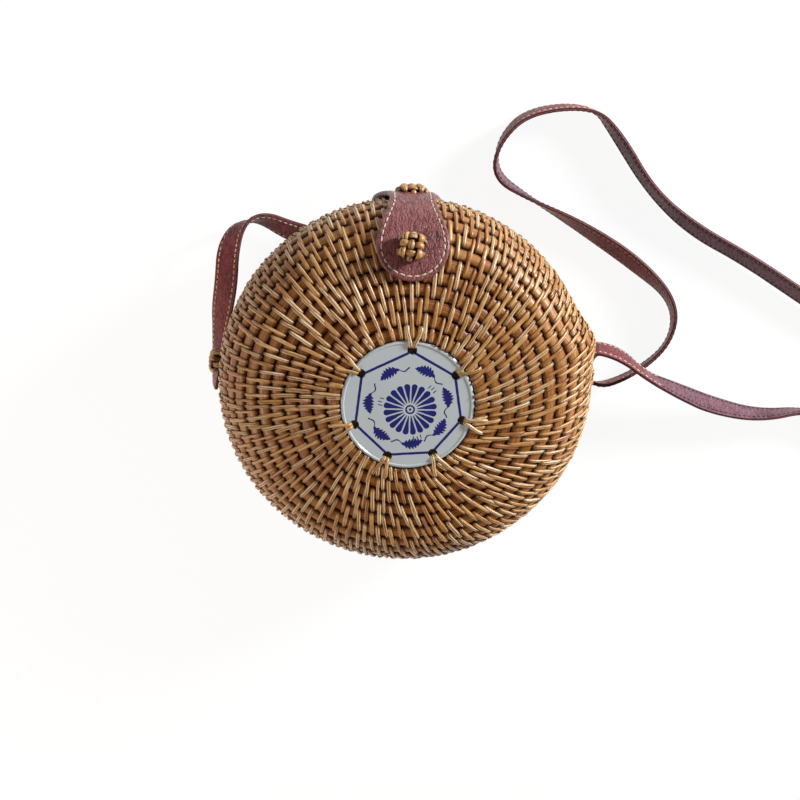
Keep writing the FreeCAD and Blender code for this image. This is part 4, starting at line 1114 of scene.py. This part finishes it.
# %% Rosette
glaze = Finish("glaze", {"IOR": 1.5, "Specular IOR Level": 0.3, "Coat Weight": 0.15,
                         "Coat Roughness": 0.08})
BRUSH_SOFT, WAVER = 0.08, 0.30
PETALS, PETAL_IN, PETAL_OUT, PETAL_GAP, PETAL_END = 20, 3.2, 12.4, 0.34, 1.5
ROSETTE_RIGHT, ROSETTE_DOWN, EYE_RING, EYE_LINE, EYE_DOT = 1.2, 2.0, 1.85, 0.42, 0.6
STROKE_GROUPS, STROKES_AT, STROKE_HALF, STROKE_SOFT = 3, 14.5, 0.42, 0.10
spot = glaze.place()
parts = [glaze.node("ShaderNodeSeparateXYZ", {}, {0: spot}, out=n) * 1000.0 for n in range(2)]
px = parts[0] + (glaze.noise(spot, 420.0, detail=3.0) - 0.5) * WAVER
py = parts[1] + glaze.noise(spot, 390.0, detail=2.0) * WAVER - WAVER / 2


def stroke(distance, half, soft=BRUSH_SOFT):
    """Mask of a brush stroke: 1 where the distance is under half, with a soft edge."""
    return (half - distance).rise(-soft, soft)


cx, cy = px - ROSETTE_RIGHT, py + ROSETTE_DOWN
radius = (cx * cx + cy * cy).do("SQRT")
bearing = cy.do("ARCTAN2", cx) * (PETALS / TURN)
offset = abs(bearing - bearing.do("FLOOR") - 0.5) * radius * (TURN / PETALS)
past = ((radius - (PETAL_OUT - PETAL_END)) * (1 / PETAL_END)).clamp()
petal_half = (radius * (math.pi / PETALS) - PETAL_GAP) * (1.0 - past ** 2.0).do("SQRT")
petals = stroke(offset, petal_half) * (radius > PETAL_IN) * (radius < PETAL_OUT)
eye = both(stroke(abs(radius - EYE_RING), EYE_LINE), stroke(radius, EYE_DOT))
ink = both(petals, eye)
groups = cy.do("ARCTAN2", cx) * (STROKE_GROUPS / TURN) + 0.12
swing = (groups - groups.do("FLOOR") - 0.5) * radius * (TURN / STROKE_GROUPS)
strokes = stroke(abs((swing * 1.9).do("SINE")), STROKE_HALF, STROKE_SOFT) * (abs(swing) < 2.4)
ink = both(ink, strokes * (abs(radius - STROKES_AT + abs(swing) * 0.25) < 1.0))
print("petals", PETALS, "nodes so far", len(glaze.tree.nodes))

# %% [markdown]
# ## Border of the disc
# A line runs from hole to hole, and inside each line lies a leaf spray. Along a side, t is the
# distance from its middle and q the distance inwards, so one formula serves all seven sides. The
# spray is a long leaf with a toothed edge and a curling stem, bowed away from the border.

# %% Border and leaves
HOLE_ANGLES = [87.4, 34.4, -14.8, -61.8, -109.1, -157.7, 146.2]
HOLE_CIRCLE, HOLE, LINE_IN, LINE_HALF = 26.4, 2.25, 0.6, 0.62
LEAF_IN, LEAF_BOW, LEAF_BACK, LEAF_REACH, LEAF_SPAN = 4.6, 0.040, 1.2, 27.0, 5.1
STEM_FROM, STEM_TO, STEM_HALF = 3.4, 8.6, 0.33
for first, second in zip(HOLE_ANGLES, HOLE_ANGLES[1:] + HOLE_ANGLES[:1]):
    a, b = (np.array((math.cos(math.radians(d)), math.sin(math.radians(d))))
            * (HOLE_CIRCLE - LINE_IN) for d in (first, second))
    middle, length = (a + b) / 2, np.linalg.norm(b - a)
    t, q = (px * float(to[0]) + py * float(to[1]) - float(middle @ to)
            for to in ((b - a) / length, -unit(middle)))
    border_line = stroke(abs(q), LINE_HALF) * (abs(t) < length / 2 - HOLE + LINE_IN)
    bowed = q - LEAF_IN - t * t * LEAF_BOW
    teeth = abs((t * 2.2 + abs(bowed) * 0.8).do("SINE"))
    leaf_t = t + LEAF_BACK
    leaf_half = (1.0 - leaf_t * leaf_t * (1 / LEAF_REACH)).clamp() * (teeth * 1.25 + 1.45)
    leaf = (leaf_half - abs(bowed)).rise(-0.06, 0.10) * (abs(leaf_t) < LEAF_SPAN)
    curl = ((t - STEM_FROM) * 0.82).do("SINE") * 1.25
    stem = stroke(abs(bowed - curl), STEM_HALF) * (t > STEM_FROM) * (t < STEM_TO)
    ink = both(ink, both(border_line, both(leaf, stem)))
print("sides", len(HOLE_ANGLES), "nodes so far", len(glaze.tree.nodes))

# %% [markdown]
# ## Glaze
# Under the blue is a bluish white glaze, slightly uneven, with a soft shine. The blue is darker
# where the brush left more of it. The solid disc has the right shape, with its holes, so it stays
# and only gets this finish.

# %% Glaze
wash = glaze.noise(spot, 260.0, detail=4.0)
blue = glaze.ramp(wash, (0.30, (0.002, 0.002, 0.110)), (0.75, (0.005, 0.008, 0.250)))
body = glaze.ramp(glaze.noise(spot, 55.0, detail=5.0), (0.3, (0.562, 0.622, 0.668)),
                  (0.75, (0.626, 0.676, 0.714)))
glaze.feed(Base_Color=glaze.mix(ink * 0.97, body, blue), Roughness=(wash * 0.10 + 0.13).clamp())
glaze.bump(glaze.noise(spot, 120.0, detail=2.0), 0.00012, 0.35)


def refinish(node, finish):
    """A solid that keeps its shape gets a new finish."""
    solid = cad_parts[node]
    solid.data.materials.clear()
    solid.data.materials.append(finish)


refinish("medallion", glaze.done())

# %% [markdown]
# ## Lashings
# Two strips come up through each hole of the disc, spread over its edge and the first row, and go
# down between the rows. They hold the disc, so they lie tight on it: their height over each radius
# is written down, and only the spread to the sides is worked out. The hinge loops at the bottom
# rim are the same cane.

# %% Lashings
LASH_R = np.array([27.75, 27.85, 28.25, 29.1, 30.4, 32.2, 34.4, 36.2, 37.3, 37.7])
LASH_Z = np.array([67.2, 69.0, 69.9, 70.15, 70.20, 70.25, 70.2, 70.05, 69.2, 67.8])
LASH_HALF, LASH_HIGH, LASH_APART, LASH_SPREAD, LASH_PLAY = 0.85, 0.7, 0.72, 2.5, 0.35
LASH_FROM, LASH_EASE, LASH_TONES = 27.0, 10.0, (0.45, 1.0)
rng = np.random.default_rng(51)
lash_angle = np.radians(np.repeat(HOLE_ANGLES, 2))[:, None]
spread_out = np.tile([-1.0, 1.0], len(HOLE_ANGLES))[:, None]
grow = smooth((LASH_R - LASH_FROM) / LASH_EASE)[None]
aside = (spread_out * (LASH_APART + LASH_SPREAD * grow)
         + rng.normal(0, LASH_PLAY, lash_angle.shape) * grow)
x = LASH_R * np.cos(lash_angle) - aside * np.sin(lash_angle)
y = LASH_R * np.sin(lash_angle) + aside * np.cos(lash_angle)
lash_path = np.stack([x, y, np.broadcast_to(LASH_Z, x.shape)], -1)
lash_lean = np.gradient(LASH_Z) / np.gradient(LASH_R)
lash_normal = unit(np.stack([-lash_lean * np.cos(lash_angle), -lash_lean * np.sin(lash_angle),
                             np.ones_like(x)], -1))
lash_tone = rng.uniform(*LASH_TONES, x.shape[0])[:, None, None]
lash_strips = strips(lash_path, lash_normal, LASH_HALF, LASH_HIGH, tone=lash_tone, deep=0.0)
lashings = build("lashings", [lash_strips], [stitch_cane], ["medallion_lashings"])
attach(lashings, "front_half")
for side in ("left", "right"):
    refinish("hinge_loop_" + side, stitch_cane)

# %% [markdown]
# ## Cotton
# The lining is plain undyed cotton. Its threads are finer than a grid could carry, so warp and weft
# are two noises, each drawn out along one axis, which give both the colour and the relief.

# %% Cotton
cloth = Finish("lining_cotton", {"Roughness": 0.9, "Sheen Weight": 0.3})
weft = cloth.place()
warp_lines, weft_lines = (cloth.noise(weft, 1.0, stretch, 2.0) for stretch in (
    (2600.0, 260.0, 260.0), (260.0, 2600.0, 260.0)))
cloth.feed(Base_Color=cloth.ramp(warp_lines * 0.5 + weft_lines * 0.5, (0.3, (0.36, 0.29, 0.20)),
                                 (0.7, (0.50, 0.42, 0.31))))
cloth.bump(warp_lines + weft_lines, 0.0002, 0.5)
lining_cotton = cloth.done()

# %% [markdown]
# ## Linings
# Inside, each half is lined with a round of cotton, eased into the dish, so it stands in soft
# pleats near the rim. A cloth simulation could drape it, but it lies against the wall all over, so
# its shape is known: a thin closed skin turned round the axis, with a wave that grows towards the
# edge.

# %% Linings
CLOTH_NEAR, CLOTH_FAR, AIR, HEM, SHOULDER_STEPS = 0.05, 0.65, 0.1, 1.5, 14
PLEAT, PLEATS, PLEAT_FROM, PLEAT_EASE = 0.55, 34, 40.0, 40.0


def lining(half, flat_r, flat_h):
    """Cloth along the wall's inside: flat, then the face arc and the shoulder arc, less the wall.
    Pleats stand off it by PLEAT * (1 + sine round the bag). The flat area is the sum of length
    along the section times the circle there."""
    low = ROD_AT[1] + ROD + HEM
    shoulder_in, face_in = SHOULDER - WALL - AIR, half.radius - WALL - AIR
    lean = np.linspace(math.pi / 2 - half.turn, math.asin(low / shoulder_in), SHOULDER_STEPS)
    r = np.concatenate([[POLE], np.linspace(4.0, flat_r, 6), np.linspace(flat_r + 4.0, ARC, 6),
                        ARC + shoulder_in * np.cos(lean)])
    h = np.where(r <= flat_r, flat_h, np.sqrt(np.maximum(0, face_in**2 - r**2)) + half.centre)
    h[-SHOULDER_STEPS:] = shoulder_in * np.sin(lean)
    run = np.concatenate([[0.0], np.cumsum(np.hypot(np.diff(r), np.diff(h)))])
    area = float((np.diff(run) * (r[1:] + r[:-1])).sum() * math.pi)
    wave = 1 + np.sin(PLEATS * angles + 3 * np.sin(5 * angles))
    pleat = PLEAT * smooth((r - PLEAT_FROM) / PLEAT_EASE)[:, None] * wave
    normal = unit(np.stack([np.gradient(h), -np.gradient(r)], -1))
    rr, hh = (np.concatenate([base[:, None] + out * (CLOTH_NEAR + pleat),
                              (base[:, None] + out * (CLOTH_FAR + pleat))[::-1]])
              for base, out in ((r, normal[:, :1]), (h, normal[:, 1:])))
    rr[0], rr[-1] = POLE, POLE
    v = np.concatenate([run, run[::-1] + 90])[:, None]
    uv = np.stack(np.broadcast_arrays(angles * 60, v), -1)
    return skin(half.place(rr, hh, angles)[None, :, :-1], uv[None], caps=True), area


for (half, name), flat_r, flat_h in zip(HALVES, (36.2, 32.0), (29.2, HALF - WALL)):
    surface, area = lining(half, flat_r, flat_h)
    piece = build(name + "_lining_cloth", [surface], [lining_cotton], [name + "_lining"])
    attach(piece, name + "_half")
    across = 2 * math.sqrt(area / math.pi) * MM
    name + "_coil"
    area * MM * MM

# %% [markdown]
# ## Floor
# The bag lies on a white table. Brighter lamps would whiten the table but bleach the bag, so only
# what the camera sees of the floor, directly or in a reflection or through glass, is lifted towards
# white. The bag is lit at a plain level and keeps its shadow.

# %% Floor
scene.view_settings.view_transform = "Standard"
FLOOR_REACH, FLOOR_Z, WHITE, LIFTED = 6, -0.0002, 1.09, 0.84
corners = [(side * FLOOR_REACH, end * FLOOR_REACH, FLOOR_Z)
           for side, end in ((-1, -1), (1, -1), (1, 1), (-1, 1))]
floor_mesh = bpy.data.meshes.new("floor")
floor_mesh.from_pydata(corners, [], [(0, 1, 2, 3)])
floor = bpy.data.objects.new("floor", floor_mesh)
scene.collection.objects.link(floor)
table = Finish("white_table", {"Base Color": (0.86, 0.86, 0.86, 1.0), "Roughness": 0.9})
glow = table.node("ShaderNodeEmission", {}, {"Color": (1.0, 1.0, 1.0, 1.0), "Strength": WHITE})
seen, mirrored, through = (table.node("ShaderNodeLightPath", {}, {}, out=ray) for ray in (
    "Is Camera Ray", "Is Glossy Ray", "Is Transmission Ray"))
lifted = (seen + mirrored + through).clamp() * LIFTED
surface = table.node("ShaderNodeMixShader", {}, {
    0: lifted, 1: Value(table, table.shader.outputs[0]), 2: glow})
table.tree.links.new(surface.socket, table.tree.nodes["Material Output"].inputs["Surface"])
floor_mesh.materials.append(table.done())
floor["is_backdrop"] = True

# %% [markdown]
# ## Light
# One small, slightly cool lamp stands low at the upper right, as in the picture, and draws a shine
# over the stitches there. A larger, weaker and warmer one fills the left, and the world is a faint
# warm glow, so the grooves stay warm while the highlights turn pale.

# %% Light
world = bpy.data.worlds.new("studio")
world.use_nodes = True
background = world.node_tree.nodes["Background"].inputs
background["Color"].default_value = (1.0, 0.92, 0.84, 1.0)
background["Strength"].default_value = 0.15
scene.world = world


def lamp(name, at, size, power, colour, target=(0.0, 0.0, 0.03)):
    """A round lamp whose -Z axis points from its place to the target."""
    data = bpy.data.lights.new(name, "AREA")
    data.shape, data.size, data.energy, data.color = "DISK", size, power, colour
    holder = bpy.data.objects.new(name, data)
    holder.location = at
    holder.rotation_euler = (Vector(target) - Vector(at)).to_track_quat("-Z", "Y").to_euler()
    scene.collection.objects.link(holder)
    print("lamp", name, "at", at, "power", power)


lamp("key", (0.80, 0.52, 0.34), 0.22, 13.4, (0.95, 0.98, 1.0))
lamp("fill", (-0.70, -0.36, 0.50), 0.6, 3.7, (1.0, 0.88, 0.74))

# %% [markdown]
# ## Size
# Dressing the solids must not change the size of the bag. So the box of the solids and the box of
# the finished bag are kept side by side, and the last line prints the box of the finished bag.

# %% Finish
size = {"cad": cad_box, "visual": [list(corner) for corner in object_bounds()]}
print("size", [[round(c, 4) for c in corner] for corner in size["visual"]])
